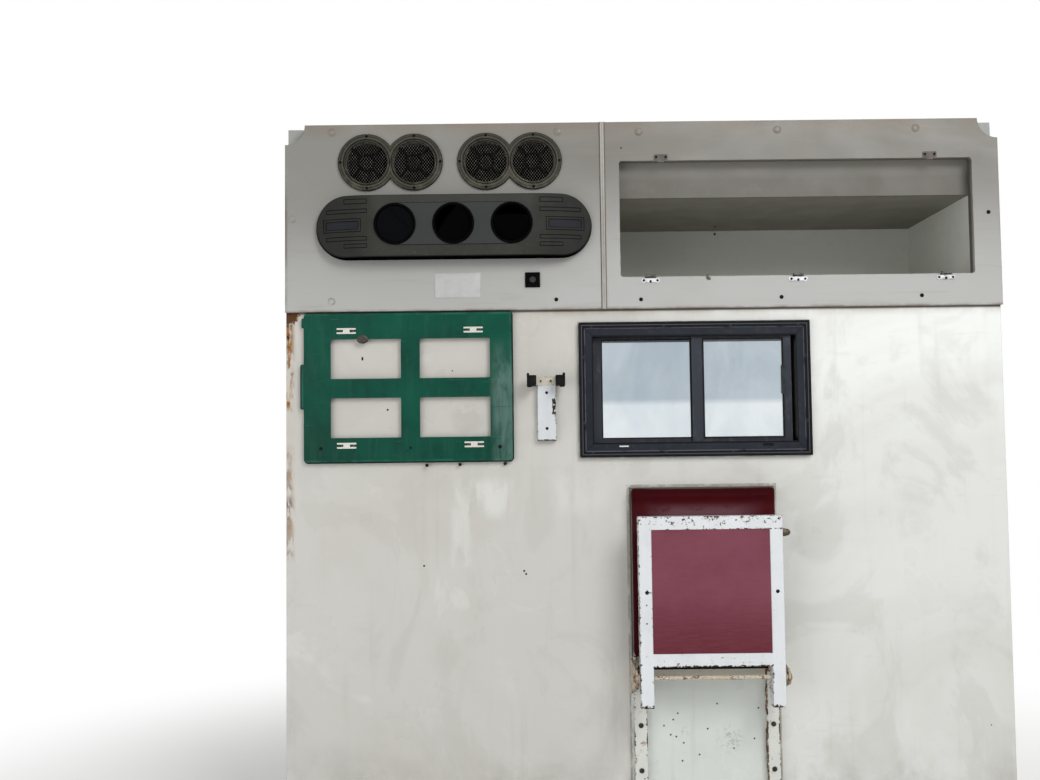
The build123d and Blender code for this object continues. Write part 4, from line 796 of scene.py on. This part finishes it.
MATERIALS = {
    "wall": gelcoat_wall(),
    "cover": cover_board(),
    "primer": chipped_paint("frame_primer", (150, 153, 150), rim=0.08, specks=0.02),
    "zinc": galvanised(),
    "strip": joint_plastic(),
    "label": label_stock(),
    "grille": grille_plastic(),
    # Painted light: the strands and the bonds of the expanded mesh are one metal, the strands painted near
    # black as shade and the bonds pale as lit.
    "wire": mesh_metal("mesh_strands", (5, 5, 4), (9, 9, 8), (20, 19, 17)),
    "bond": mesh_metal("mesh_bonds", (74, 72, 67), (92, 90, 84), (142, 139, 130)),
    "fascia": fascia_plastic(),
    "outlet": moulded_plastic("outlet_moulding", (3, 3, 4), (5, 5, 6), 0.55, dust=0.0, scuff=(30, 31, 34),
                              shine=0.02).material,
    "flap": flap_plastic(),
    "case": case_plastic(),
    "pipe": bright_metal("drawn_aluminium", (186, 188, 190), 0.34, 0.10),
    "switch": moulded_plastic("switch_moulding", (4, 4, 5), (7, 7, 8), 0.55, dust=0.04, scuff=(44, 44, 46),
                              shine=0.03).material,
    "button": moulded_plastic("button_moulding", (46, 48, 50), (34, 36, 38), 0.42, dust=0.15,
                              scuff=(110, 110, 112), shine=0.25).material,
    "locker": laminate("locker_laminate", (219, 221, 214), (206, 208, 200)),
    "header": laminate("header_laminate", (112, 109, 103), (104, 101, 95), top_painted_light=(150, 147, 140)),
    # The ceiling is painted darker than the locker's back, partly as painted shade of the same laminate
    # under the locker's top.
    "ceiling": laminate("ceiling_laminate", (134, 130, 121), (120, 116, 108)),
    "leaf": hinge_plate(),
    "knuckle": bright_metal("catch_plating", (78, 75, 70), 0.50, 0.4, 0.3),
    "frame": window_section(),
    "sash": sash_section(),
    "glass": window_glass(),
    "rack": rack_gelcoat(),
    "clip": chipped_paint("clip_paint", (216, 216, 208), rim=0.06, specks=0.05),
    "white": chipped_paint("seat_paint", (226, 230, 234), rim=0.05, specks=0.07, rusty=0.30,
                           places=seat_rims, bare=DARK_RUST),
    "bracket": chipped_paint("bracket_paint", (212, 217, 222), rim=0.04, specks=0.04, rusty=0.25,
                             places=bracket_rims, bare=DARK_RUST),
    "strap": chipped_paint("strap_paint", (206, 200, 184), rim=0.12, specks=0.06),
    "rail": chipped_paint("rail_paint", (218, 220, 214), rim=0.10, specks=0.20, rusty=0.60,
                          places=rail_rims, bare=(124, 84, 48)),
    "rubber": rubber("black_rubber"),
    "jaw": rubber("jaw_rubber", ribs=0.0008),
    "plate": plate_paint(),
    "lug": rusty_steel("lug_steel", 0.62),
    "rod": rusty_steel("rod_steel", 0.70),
    "vinyl": vinyl("dark_vinyl", (74, 13, 19), (54, 12, 16), (88, 18, 25), 0.38, shine=0.09,
                   shaded="back_cushion"),
    "faded": vinyl("faded_vinyl", (124, 63, 79), (112, 53, 68), (136, 77, 93), 0.55, 0.0006, weave=0.12,
                   foot=(92, 24, 35)),
    "stud": bright_metal("stud_steel", (84, 76, 66), 0.48, 0.9, 0.5),
    "screw": bright_metal("dark_screw", (52, 49, 45), 0.45, 0.5, 0.6),
    "black": bright_metal("blacked_screw", (20, 20, 21), 0.5, 0.12, 0.3),
    "bright": chipped_paint("drain_insert", (226, 228, 230), rim=0.05, specks=0.02),
    "stop": moulded_plastic("stop_metal", (62, 59, 53), (46, 44, 40), 0.5, dust=0.7,
                            scuff=(124, 118, 106)).material,
    # A darker cream than the rails, partly painted shade under the seat's cross member.
    "cross": chipped_paint("cross_rail_paint", (196, 191, 176), rim=0.08, specks=0.20, rusty=0.6,
                           places=lambda f: 0.16, bare=(96, 66, 40)),
    "dark": flat_dark("dark_socket", (9, 9, 9)),
}
NODES_OF = {
    "wall": "bulkhead_panel", "primer": "frame_posts frame_rails", "zinc": "floor_channel side_flanges",
    "cover": "ac_cover_panel locker_cover_panel", "strip": "joint_strip",
    "grille": "grille_left grille_right", "wire": "grille_mesh", "fascia": "vent_fascia",
    "outlet": "air_outlets", "flap": "outlet_flaps", "case": "evaporator_case", "pipe": "evaporator_pipes",
    "switch": "ac_switch", "button": "switch_button", "locker": "locker_floor locker_ends locker_back",
    "ceiling": "locker_ceiling", "header": "locker_header", "leaf": "locker_hinges",
    "knuckle": "locker_catches", "frame": "window_frame window_clamp_ring",
    "sash": "window_sash_left window_sash_right", "glass": "window_glass", "rack": "equipment_rack",
    "clip": "rack_clips", "bracket": "tool_bracket", "strap": "bracket_clip", "jaw": "clip_jaws",
    "plate": "seat_backplate", "rail": "seat_rails", "cross": "seat_cross_rail", "lug": "seat_lugs",
    "rod": "pivot_rod", "vinyl": "back_cushion seat_cushion", "white": "seat_frame",
    "faded": "seat_board", "stud": "strap_stud",
}
for key, names in NODES_OF.items():
    for name in names.split():
        nodes[name].data.materials.clear()
        nodes[name].data.materials.append(MATERIALS[key])


class Shapes:
    """Collects many small closed forms in one mesh."""

    def __init__(self):
        self.bm = bmesh.new()

    def turned(self, profile, centre, out=FRONT, segments=14, flat=1.0):
        """Revolves (radius, height) points, in millimetres, about the axis out and closes both ends; flat
        squashes the rings."""
        turn = Vector((0, 0, 1)).rotation_difference(out).to_matrix()
        angles = [2 * math.pi * i / segments for i in range(segments)]
        rings = []
        for radius, height in profile:
            ring = [Vector((radius * math.cos(a), flat * radius * math.sin(a), height)) for a in angles]
            if radius == 0:
                ring = [Vector((0, 0, height))]
            rings.append([self.bm.verts.new(Vector(centre) + turn @ point * MM) for point in ring])
        for low, high in zip(rings, rings[1:]):
            for i in range(segments):
                j = (i + 1) % segments
                if len(high) == 1:
                    self.bm.faces.new((low[i], low[j], high[0]))
                else:
                    self.bm.faces.new((low[i], low[j], high[j], high[i]))
        for ring, order in ((rings[0], -1), (rings[-1], 1)):
            if len(ring) > 1:
                self.bm.faces.new(ring[::order])

    def block(self, low, high, bevel=0.0005, segments=2):
        """A box between two corners with rounded edges."""
        low, high = Vector(low), Vector(high)
        made = bmesh.ops.create_cube(self.bm, size=1.0)["verts"]
        place = Matrix.Translation((low + high) / 2) @ Matrix.Diagonal((*(high - low), 1))
        bmesh.ops.transform(self.bm, verts=made, matrix=place)
        rims = list({e for v in made for e in v.link_edges})
        bmesh.ops.bevel(self.bm, geom=rims, offset=bevel, segments=segments, profile=0.5, affect="EDGES")

    def rim(self, low, high, back, profile):
        """A mitred rectangular rim; its profile is (distance in, height forward) in millimetres."""
        loops = []
        for inset, height in profile:
            left, right = low.x + inset * MM, high.x - inset * MM
            foot, head = low.z + inset * MM, high.z - inset * MM
            corners = ((left, foot), (right, foot), (right, head), (left, head))
            loops.append([self.bm.verts.new((x, back - height * MM, z)) for x, z in corners])
        for inner, outer in zip(loops, loops[1:] + loops[:1]):
            for i in range(4):
                j = (i + 1) % 4
                self.bm.faces.new((inner[i], inner[j], outer[j], outer[i]))

    def object(self, name, material, slot, body="bulkhead", smooth=40):
        """Turns the collected forms into a piece that rides on the body."""
        bmesh.ops.recalc_face_normals(self.bm, faces=self.bm.faces)
        mesh = bpy.data.meshes.new(name)
        self.bm.to_mesh(mesh)
        self.bm.free()
        mesh.materials.append(MATERIALS[material])
        piece = bpy.data.objects.new(name, mesh)
        scene.collection.objects.link(piece)
        mesh.polygons.foreach_set("use_smooth", [True] * len(mesh.polygons))
        mesh.set_sharp_from_angle(angle=math.radians(smooth))
        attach(piece, body)
        return piece


def fixings(name, material, slot, profile, places, segments=14):
    """One piece of equal caps or screws that face the saloon."""
    shapes = Shapes()
    for place in places:
        shapes.turned(profile, place, segments=segments)
    shapes.object(name, material, slot)


def at(x, z, y):
    """A place from X and Z in millimetres and Y in metres."""
    return Vector((x * MM, y, z * MM))


def pan_head(radius, height):
    """Profile of a pan-head screw with a drive recess."""
    return [(radius, 0), (radius, height * 0.55), (radius * 0.86, height * 0.85), (radius * 0.5, height),
            (radius * 0.38, height), (radius * 0.30, height * 0.45), (0, height * 0.4)]


# Screw caps and open screw holes on the two cover boards: X and Z in millimetres
CAPS = ((-812, 1830), (-220.6, 1826), (-916.5, 1602), (-814, 1384), (-7, 1823.5), (357, 1824.7), (721, 1825))
OPEN_SCREWS = ((-229, 1383), (-8.3, 1380.7), (358, 1383), (724, 1383), (905, 1600))
fixings("cover_screw_caps", "cover", "cover_white", [
    (10.5, 0), (10.5, 0.5), (10, 0.8), (8.6, 0.8), (8.2, 0.5), (7.6, 0.8), (4.5, 1.2), (0, 1.3)],
    [at(x, z, COVER_Y) for x, z in CAPS], segments=32)
fixings("cover_open_screws", "dark", "case_black", [
    (5.2, 0), (5.2, 0.64), (4.888, 0.8), (3.6, 0.8), (3.24, 0.24), (0, 0.24)],
    [at(x, z, COVER_Y) for x, z in OPEN_SCREWS], segments=20)

# Bare plate under the fascia, where the photographed one is lettered
bare_plate = Shapes()
bare_plate.block((LABEL_X - LABEL_HALF_X, COVER_Y - 0.6 * MM, LABEL_Z - LABEL_HALF_Z),
                 (LABEL_X + LABEL_HALF_X, COVER_Y, LABEL_Z + LABEL_HALF_Z), bevel=0.2 * MM)
bare_plate.object("bare_label_plate", "label", "strip_white")

# Grille screws in the recesses of both flanges, and the expanded metal behind the spokes
SCREW_CIRCLE = 68.5 * MM
grille_seats = []
for i, centre in enumerate(RING_CENTRES):
    outward = -1 if i % 2 == 0 else 1
    for x, z in ((0, 1), (outward, 0), (0, -1)):
        grille_seats.append(centre + Vector((x * SCREW_CIRCLE, -3 * MM, z * SCREW_CIRCLE)))
# The grille screws take the near-black socket finish, painted shade of their recesses.
fixings("grille_screws", "dark", "worn_steel", pan_head(4.2, 2.2), grille_seats, segments=16)


def expanded_disc(name, centre, radius, across=3.6 * MM, up=9.3 * MM, half=0.60 * MM):
    """Expanded metal cut to a disc: upright strands, bonded to their left and right neighbours in turn;
    strands take painted shade and bonds painted light.
    """
    shapes = Shapes()
    lean = across / 2 - half * 0.8
    columns = int(radius / across)
    for i in range(-columns, columns + 1):
        x = i * across
        steps = int((math.sqrt(radius ** 2 - x ** 2) - up / 4) / (up / 4))
        if steps < 2:
            continue
        rings = []
        for k in range(-steps, steps + 1):
            side = 1 if (k // 2 + i) % 2 == 0 else -1
            late = 1 if k % 2 else -1
            point = centre + Vector((x + side * lean, 0.5 * half * late, (k + 0.28 * late) * up / 4))
            rings.append([shapes.bm.verts.new(point + Vector((s * half, t * half, 0)))
                          for s, t in ((-1, 0.5), (-0.2, -1.3), (1, -0.5), (0.2, 1.3))])
        for step, (low, high) in enumerate(zip(rings, rings[1:])):
            for k in range(4):
                j = (k + 1) % 4
                face = shapes.bm.faces.new((low[k], low[j], high[j], high[k]))
                # Alternate steps take the strand colour, painted shade, and the bond colour, painted light.
                face.material_index = 1 - (step - steps) % 2
        shapes.bm.faces.new(rings[0][::-1])
        shapes.bm.faces.new(rings[-1])
    disc = shapes.object(name, "wire", "mesh_grey", smooth=30)
    disc.data.materials.append(MATERIALS["bond"])
    return disc


mesh_low, mesh_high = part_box("grille_mesh")
mesh_y = (mesh_low.y + mesh_high.y) / 2
for i, centre in enumerate(RING_CENTRES):
    disc = expanded_disc(f"expanded_mesh_{i + 1}", Vector((centre.x, mesh_y, centre.z)), 58 * MM)
    if i == 0:
        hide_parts("grille_mesh")

# Rack: sunk bolts, the round stop held off the wall, and rubber stubs below the lower edge
for name, material, z in (("rack_bolts_painted", "rack", 1312), ("rack_bolts", "dark", 1002)):
    rack_bolts = Shapes()
    for x, radius in ((-842, 4.8), (-610.5, 3.4), (-379.5, 4.8)):
        rack_bolts.turned([(radius, 0), (radius, 0.5), (radius * 0.86, 0.9), (radius * 0.66, 0.9),
                           (radius * 0.55, 0.3), (0, 0.2)], at(x, z, RACK_Y), segments=18)
    rack_bolts.object(name, material, "worn_steel")
rack_stop = Shapes()
rack_stop.turned([(3.2, 0), (3.2, 14), (0, 14)], at(-733.5, 1279, WALL_Y))
rack_stop.turned([(14, 0), (15, 1), (15, 2.4), (13, 3.8), (9, 4.4), (8, 3.6), (5, 3.6), (4, 4.8), (0, 4.8)],
                 at(-733.5, 1284, RACK_Y), segments=32, flat=0.74)
rack_stop.object("rack_stop", "stop", "worn_steel")
stubs = Shapes()
for x, z, long in ((-569, 956, 15), (-483.7, 957, 13), (-367, 958, 9)):
    stubs.turned([(3, 0), (3.4, 3), (2.4, 5), (2.6, long * 0.6), (4.4, long * 0.75), (3.6, long), (0, long)],
                 at(x, z, WALL_Y))
stubs.object("rack_rubber_stubs", "rubber", "rubber_black")

# Window: rubber bead round the frame, glazing rubbers on both faces of each sash, screws and drain inserts
window_low, window_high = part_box("window_frame")
bead = Shapes()
bead.rim(window_low, window_high, WALL_Y - 12.5 * MM, [
    (0.4, 0), (0.4, 1.6), (1.6, 2.6), (4.4, 2.6), (5.4, 1.6), (5.4, 0)])
bead.object("window_edge_bead", "rubber", "rubber_black")

# Each pane is the glass less its bite into the rails, between the sash's two stiles
GLASS_BITE = 2.5 * MM
STILES = {"window_sash_left": (22 * MM, 28 * MM), "window_sash_right": (28 * MM, 20 * MM)}
glass_low, glass_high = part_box("window_glass")
glazing = Shapes()
for sash, (left_stile, right_stile) in STILES.items():
    sash_low, sash_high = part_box(sash)
    pane_low = Vector((sash_low.x + left_stile, 0, glass_low.z + GLASS_BITE))
    pane_high = Vector((sash_high.x - right_stile, 0, glass_high.z - GLASS_BITE))
    for out in (-1, 1):
        glazing.rim(pane_low, pane_high, (sash_low.y + sash_high.y) / 2, [
            (-0.2, -out * 2.1), (-0.2, -out * 5.2), (1.4, -out * 5.2), (3.4, -out * 3.2), (3.4, -out * 2.1)])
glazing.object("glazing_rubbers", "rubber", "rubber_black")

left, right, foot, head = (v / MM for v in (window_low.x, window_high.x, window_low.z, window_high.z))
window_seats = [(x, z) for x in (-139, 49, 223, 399) for z in (foot + 12, head - 12)]
window_seats += [(x, z) for z in (1060, 1230) for x in (left + 12, right - 12)]
fixings("window_screws", "black", "worn_steel", pan_head(3.4, 1.3),
        [at(x, z, WINDOW_Y + 0.5 * MM) for x, z in window_seats])
drain_z = foot + 28.5
drain = Shapes()
drain.block(at(-70.5, drain_z - 2.2, WINDOW_Y + 1 * MM), at(-46.5, drain_z + 1.4, WINDOW_Y + 5 * MM))
drain.object("drain_insert", "bright", "white_paint")
drain_comb = Shapes()
for i in range(5):
    x = 304.5 + i * 5.5
    drain_comb.block(at(x, drain_z - 3, WINDOW_Y + 1.5 * MM), at(x + 2, drain_z + 3, WINDOW_Y + 5 * MM))
drain_comb.object("drain_comb", "rubber", "rubber_black")

# Tool bracket: two screws in the plate's holes, and the dark open ends of the clip's two rivets
bracket_screws = Shapes()
for z in (1140, 1047.5):
    bracket_screws.turned([(3.9, 0), (3.9, 0.3), (3.2, 0.7), (1.2, 0.7), (0.9, 0.2), (0, 0.2)],
                          at(-257.5, z, BRACKET_Y), segments=18)
for x in (-272.5, -246.5):
    bracket_screws.turned([(2.5, 0), (2.5, 0.3), (1.9, 0.6), (1.3, 0.6), (1.0, 0.2), (0, 0.2)],
                          at(x, 1170, BRACKET_Y - 3 * MM), segments=16)
bracket_screws.object("bracket_screws", "dark", "case_black")

# Worn lips on the clip's rubber jaws: each turns up at the outside and has a foot below
LIP = 6 * MM
jaws_low, jaws_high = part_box("clip_jaws")
lips = Shapes()
for x, foot_start in ((jaws_low.x, 1 * MM), (jaws_high.x - LIP, -7 * MM)):
    lips.block((x, jaws_low.y + 2 * MM, jaws_low.z + 3 * MM),
               (x + LIP, jaws_high.y - 2 * MM, jaws_high.z + 6 * MM), 2 * MM, 3)
    foot_x = x + foot_start
    lips.block((foot_x, jaws_low.y + 3 * MM, jaws_low.z - 2.5 * MM),
               (foot_x + 12 * MM, jaws_high.y - 3 * MM, jaws_low.z + 3 * MM), 1.5 * MM, 3)
lips.object("jaw_lips", "jaw", "rubber_black")

# Locker: black screws in the hinge leaves and catches, a bent tab on the sill, and carcass screws behind
locker_screws = Shapes()
leaf_y = COVER_Y - 2 * MM
for hinge_x in (17.5, 402.5, 788):
    for x, z in ((hinge_x - 18, 1430), (hinge_x, 1427.5), (hinge_x + 18, 1430)):
        locker_screws.turned(pan_head(3.2, 1.3), at(x, z, leaf_y))
for x in (37.5, 62.5, 742.5, 767.5):
    locker_screws.turned(pan_head(3.4, 1.0), at(x, 1755, leaf_y), segments=16)
locker_screws.object("locker_screws", "dark", "case_black")
tab = Shapes()
tab.block((0.163, COVER_Y - 0.0022, 1.4325), (0.170, COVER_Y, 1.4440), 0.0008)
tab.block((0.166, COVER_Y - 0.0030, 1.4300), (0.174, COVER_Y - 0.0004, 1.4365), 0.0008)
tab.object("sill_tab", "knuckle", "worn_steel")
carcass_head = pan_head(3.6, 2.0)
back_low, back_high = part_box("locker_back")
carcass_screws = Shapes()
for i in range(9):
    x = back_low.x + 12 * MM + i * (back_high.x - back_low.x - 24 * MM) / 8
    for z in (back_low.z + 5 * MM, back_high.z - 5 * MM):
        carcass_screws.turned(carcass_head, (x, back_high.y, z), BACK)
for share in (1 / 3, 2 / 3):
    z = back_low.z + share * (back_high.z - back_low.z)
    for x in (back_low.x + 5 * MM, back_high.x - 5 * MM):
        carcass_screws.turned(carcass_head, (x, back_high.y, z), BACK)
carcass_screws.turned(carcass_head, at(278, 1646, back_low.y))
carcass_screws.turned(carcass_head, (0.267, 0.400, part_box("locker_ceiling")[0].z), Vector((0, 0, -1)))
carcass_screws.object("carcass_screws", "screw", "worn_steel")

# Seat rails: hexagon bolts, and beads of weld where the lugs and the cross rail meet the rails
rail_bolts = Shapes()
for x in (-28.5, 308.5):
    for z in (290, 177, 95):
        rail_bolts.turned([(6.5, 0), (6.5, 1), (5.2, 1.2)], at(x, z, RAIL_Y), segments=18)
        rail_bolts.turned([(4.9, 1), (4.9, 4.2), (4.2, 4.8), (0, 4.8)], at(x, z, RAIL_Y), segments=6)
rail_bolts.object("rail_bolts", "screw", "worn_steel")


def weld_bead(shapes, x, y, foot, head, seed):
    """Overlapping flattened beads up a line."""
    rng = random.Random(seed)
    radius = 2.4 * MM
    start, end = Vector((x, y, foot)), Vector((x, y, head))
    count = max(2, int((end - start).length / (radius * 0.9)))
    for i in range(count + 1):
        size = radius * rng.uniform(0.85, 1.15)
        made = bmesh.ops.create_icosphere(shapes.bm, subdivisions=2, radius=size)["verts"]
        squash = Matrix.Diagonal((rng.uniform(0.9, 1.1), 0.8, rng.uniform(0.7, 0.9), 1))
        place = Matrix.Translation(start.lerp(end, i / count))
        bmesh.ops.transform(shapes.bm, verts=made, matrix=place @ squash)


welds = Shapes()
cross_low, cross_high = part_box("seat_cross_rail")
lug_low, lug_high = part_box("seat_lugs")
rail_low, rail_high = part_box("seat_rails")
for x in (cross_low.x, cross_high.x):
    weld_bead(welds, x, cross_low.y, cross_low.z + 2 * MM, cross_high.z - 2 * MM, seed=3)
for x in (rail_low.x, rail_high.x):
    weld_bead(welds, x, RAIL_Y + 0.5 * MM, lug_low.z + 8 * MM, lug_high.z - 10 * MM, seed=5)
welds.object("rail_welds", "rail", "white_paint", smooth=60)

# Hem of the cushion's cover, tacked under the seat's board and seen below the cross member, made black as
# painted shade there
frame_low, frame_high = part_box("seat_frame")
hem = Shapes()
hem.block((frame_low.x + 36 * MM, frame_high.y + 1 * MM, frame_low.z + 88 * MM),
          (frame_high.x - 36 * MM, frame_high.y + 5 * MM, frame_low.z + 112 * MM), 1.5 * MM, 3)
hem.object("cushion_hem_painted_shade", "rubber", "vinyl_dark", body="seat")

# Sole: domed screws through both upstands, but none in front where the seat's wall plate stands
sole_arc = [(4.5 * math.cos(a), 2.6 * (0.25 + 0.75 * math.sin(a))) for a in np.linspace(0.25, 1.45, 5)]
sole_head = [(4.5, 0), (4.5, 0.65), *sole_arc, (0, 2.6)]
sole_screws = Shapes()
for i in range(12):
    x = -0.88 + i * 0.16
    if abs(x - 0.14) > 0.20:
        sole_screws.turned(sole_head, (x, WALL_Y - 3 * MM, 28 * MM), segments=16)
    sole_screws.turned(sole_head, (x, FRAME_REAR_Y + 3 * MM, 28 * MM), BACK, segments=16)
sole_screws.object("sole_screws", "screw", "worn_steel")


def blown_up(piece, cap=4 * MM):
    """The piece's points after a cloth pressure simulation, each moved by no more than cap."""
    start = np.array([v.co for v in piece.data.vertices], float)
    cloth = piece.modifiers.new("cloth", "CLOTH")
    cloth.settings.use_pressure = True
    cloth.settings.uniform_pressure_force = 4.0
    cloth.settings.effector_weights.gravity = 0.0
    cloth.settings.quality = 5
    scene.frame_start, scene.frame_end = 1, 20
    for step in range(1, 21):
        scene.frame_set(step)
    evaluated = piece.evaluated_get(bpy.context.evaluated_depsgraph_get())
    move = np.array([v.co for v in evaluated.data.vertices], float) - start
    piece.modifiers.remove(cloth)
    scene.frame_set(1)
    length = np.linalg.norm(move, axis=1, keepdims=True)
    return start + move * np.minimum(1.0, cap / np.maximum(length, 1e-9))


def cushion(node, body, front, roll, drop, corner=0.010, inset=0.002, proud=0.0):
    """A stuffed cushion in a node's space.

    Its front falls by drop over the width roll to every side, as a flat band that is mitred at the corners,
    with a fold pulled in along each mitre and a crease where the band ends.
    """
    low, high = (np.array(v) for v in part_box(node))
    centre, half = (low + high) / 2, (high - low) / 2
    name = f"{node}_cover"
    mesh = bpy.data.meshes.new(name)
    bm = bmesh.new()
    made = bmesh.ops.create_cube(bm, size=1.0)["verts"]
    block = Matrix.Translation(Vector(centre)) @ Matrix.Diagonal((*(2 * (half - inset)), 1))
    bmesh.ops.transform(bm, verts=made, matrix=block)
    bmesh.ops.bevel(bm, geom=list(bm.edges), offset=corner, segments=3, profile=0.6, affect="EDGES")
    bm.to_mesh(mesh)
    bm.free()
    piece = bpy.data.objects.new(name, mesh)
    scene.collection.objects.link(piece)
    bpy.context.view_layer.objects.active = piece
    remesh = piece.modifiers.new("remesh", "REMESH")
    remesh.mode = "VOXEL"
    remesh.voxel_size = 0.005
    bpy.ops.object.modifier_apply(modifier=remesh.name)
    points = blown_up(piece)

    # Band, mitred folds and the crease inside the band, all on the half that faces out
    local = points - centre
    weight = np.clip(local[:, 1] * front / half[1] * 1.5, 0, 1)
    from_side, from_level = half[0] - np.abs(local[:, 0]), half[2] - np.abs(local[:, 2])
    depth = np.minimum(from_side, from_level)
    fall = np.clip(1 - depth / roll, 0, 1)
    fall = 0.7 * fall + 0.3 * fall ** 2
    off_mitre = np.abs(from_side - from_level) / math.sqrt(2)
    from_corner = np.clip(1.15 - np.maximum(from_side, from_level) / roll, 0, 1)
    reach = np.clip(np.maximum(depth, 0) / 0.012, 0, 1) * from_corner
    fold = np.exp(-(off_mitre / 0.0030) ** 2) * reach
    crease = np.exp(-((depth - roll) / 0.0045) ** 2)
    along, up = local[:, 0], local[:, 2]
    ripple = np.sin(along * 61) * np.sin(up * 47 + 1.3) + np.sin(along * 23 + up * 31)
    points[:, 1] -= front * weight * (drop * fall + 0.0030 * fold + 0.0010 * crease + 0.0003 * ripple)
    points = np.clip(points, low - (proud, 0, proud), high + (proud, 0, proud))
    piece.data.vertices.foreach_set("co", points.astype(np.float32).ravel())
    piece.data.update()
    smooth = piece.modifiers.new("smooth", "SUBSURF")
    smooth.levels = smooth.render_levels = 1
    bpy.ops.object.modifier_apply(modifier=smooth.name)
    piece.data.polygons.foreach_set("use_smooth", [True] * len(piece.data.polygons))
    piece.data.materials.clear()
    piece.data.materials.append(MATERIALS["vinyl"])
    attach(piece, body)
    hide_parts(node)


cushion("back_cushion", "bulkhead", front=-1, roll=0.042, drop=0.012, corner=0.007, inset=-0.0025,
        proud=0.003)
cushion("seat_cushion", "seat", front=1, roll=0.030, drop=0.010)


def background():
    """A white backdrop that lights the scene at 0.42 of what camera, mirror and glass rays see."""
    world = bpy.data.worlds.new("studio")
    scene.world = world
    world.use_nodes = True
    w = Nodes(world.node_tree)
    rays = w.node("ShaderNodeLightPath").outputs
    seen = w.either(rays["Is Camera Ray"], rays["Is Transmission Ray"], rays["Is Glossy Ray"])
    sky = world.node_tree.nodes["Background"]
    w.put(sky.inputs["Strength"], w.step(seen, 0.0, 1.0, 0.42, 1.0))
    sky.inputs["Color"].default_value = (1, 1, 1, 1)


def lamp(name, place, aim, size, watts):
    """A soft square lamp that camera and glass don't see."""
    data = bpy.data.lights.new(name, "AREA")
    data.shape = "SQUARE"
    data.size = size
    data.energy = watts
    made = bpy.data.objects.new(name, data)
    scene.collection.objects.link(made)
    made.location = place
    made.visible_camera = made.visible_transmission = False
    made.rotation_euler = (Vector(aim) - Vector(place)).to_track_quat("-Z", "Y").to_euler()


def ground():
    """A pale floor that takes shadows and fades to plain white away from the piece."""
    mesh = bpy.data.meshes.new("floor")
    bm = bmesh.new()
    bmesh.ops.create_grid(bm, x_segments=1, y_segments=1, size=14.0)
    bm.to_mesh(mesh)
    bm.free()
    floor = bpy.data.objects.new("floor", mesh)
    scene.collection.objects.link(floor)
    f = Finish("studio_floor", roughness=0.6)
    f.colour(PALE)
    rays = f.node("ShaderNodeLightPath").outputs
    white = f.node("ShaderNodeEmission")
    white.inputs["Color"].default_value = (1, 1, 1, 1)
    blend = f.node("ShaderNodeMixShader")
    fade = f.step(f.distance((0, 0, 0)), 1.1, 2.6)
    f.put(blend.inputs[0], f.both(fade, f.either(rays["Is Camera Ray"], rays["Is Transmission Ray"])))
    f.put(blend.inputs[1], f.shader.outputs[0])
    f.put(blend.inputs[2], white.outputs[0])
    f.put(f.tree.nodes["Material Output"].inputs["Surface"], blend.outputs[0])
    mesh.materials.append(f.material)


def camera():
    """The photograph's view: its axes are the camera's right, down and forward in this frame."""
    right = Vector((0.999928, -0.001888, -0.011869))
    down = Vector((-0.011753, 0.052571, -0.998548))
    forward = Vector((0.0025095, 0.998616, 0.052545))
    data = bpy.data.cameras.new("camera")
    data.lens = 38.08
    data.sensor_width = 36.0
    made = bpy.data.objects.new("camera", data)
    scene.collection.objects.link(made)
    turn = Matrix((right, -down, -forward)).transposed().to_4x4()
    made.matrix_world = Matrix.Translation((-0.3334, -2.875, 0.9982)) @ turn
    scene.camera = made


# Studio: soft lamps, white background and pale floor behind everything
background()
lamp("key", (1.3, -2.9, 3.1), (0.0, 0.0, 1.0), 1.6, 70)
lamp("fill", (-2.4, -2.6, 1.0), (0.0, 0.0, 0.8), 2.4, 28)
lamp("rear", (1.6, 3.0, 2.4), (0.0, 0.1, 1.0), 2.2, 62)
ground()
camera()
scene.view_settings.view_transform = "Standard"
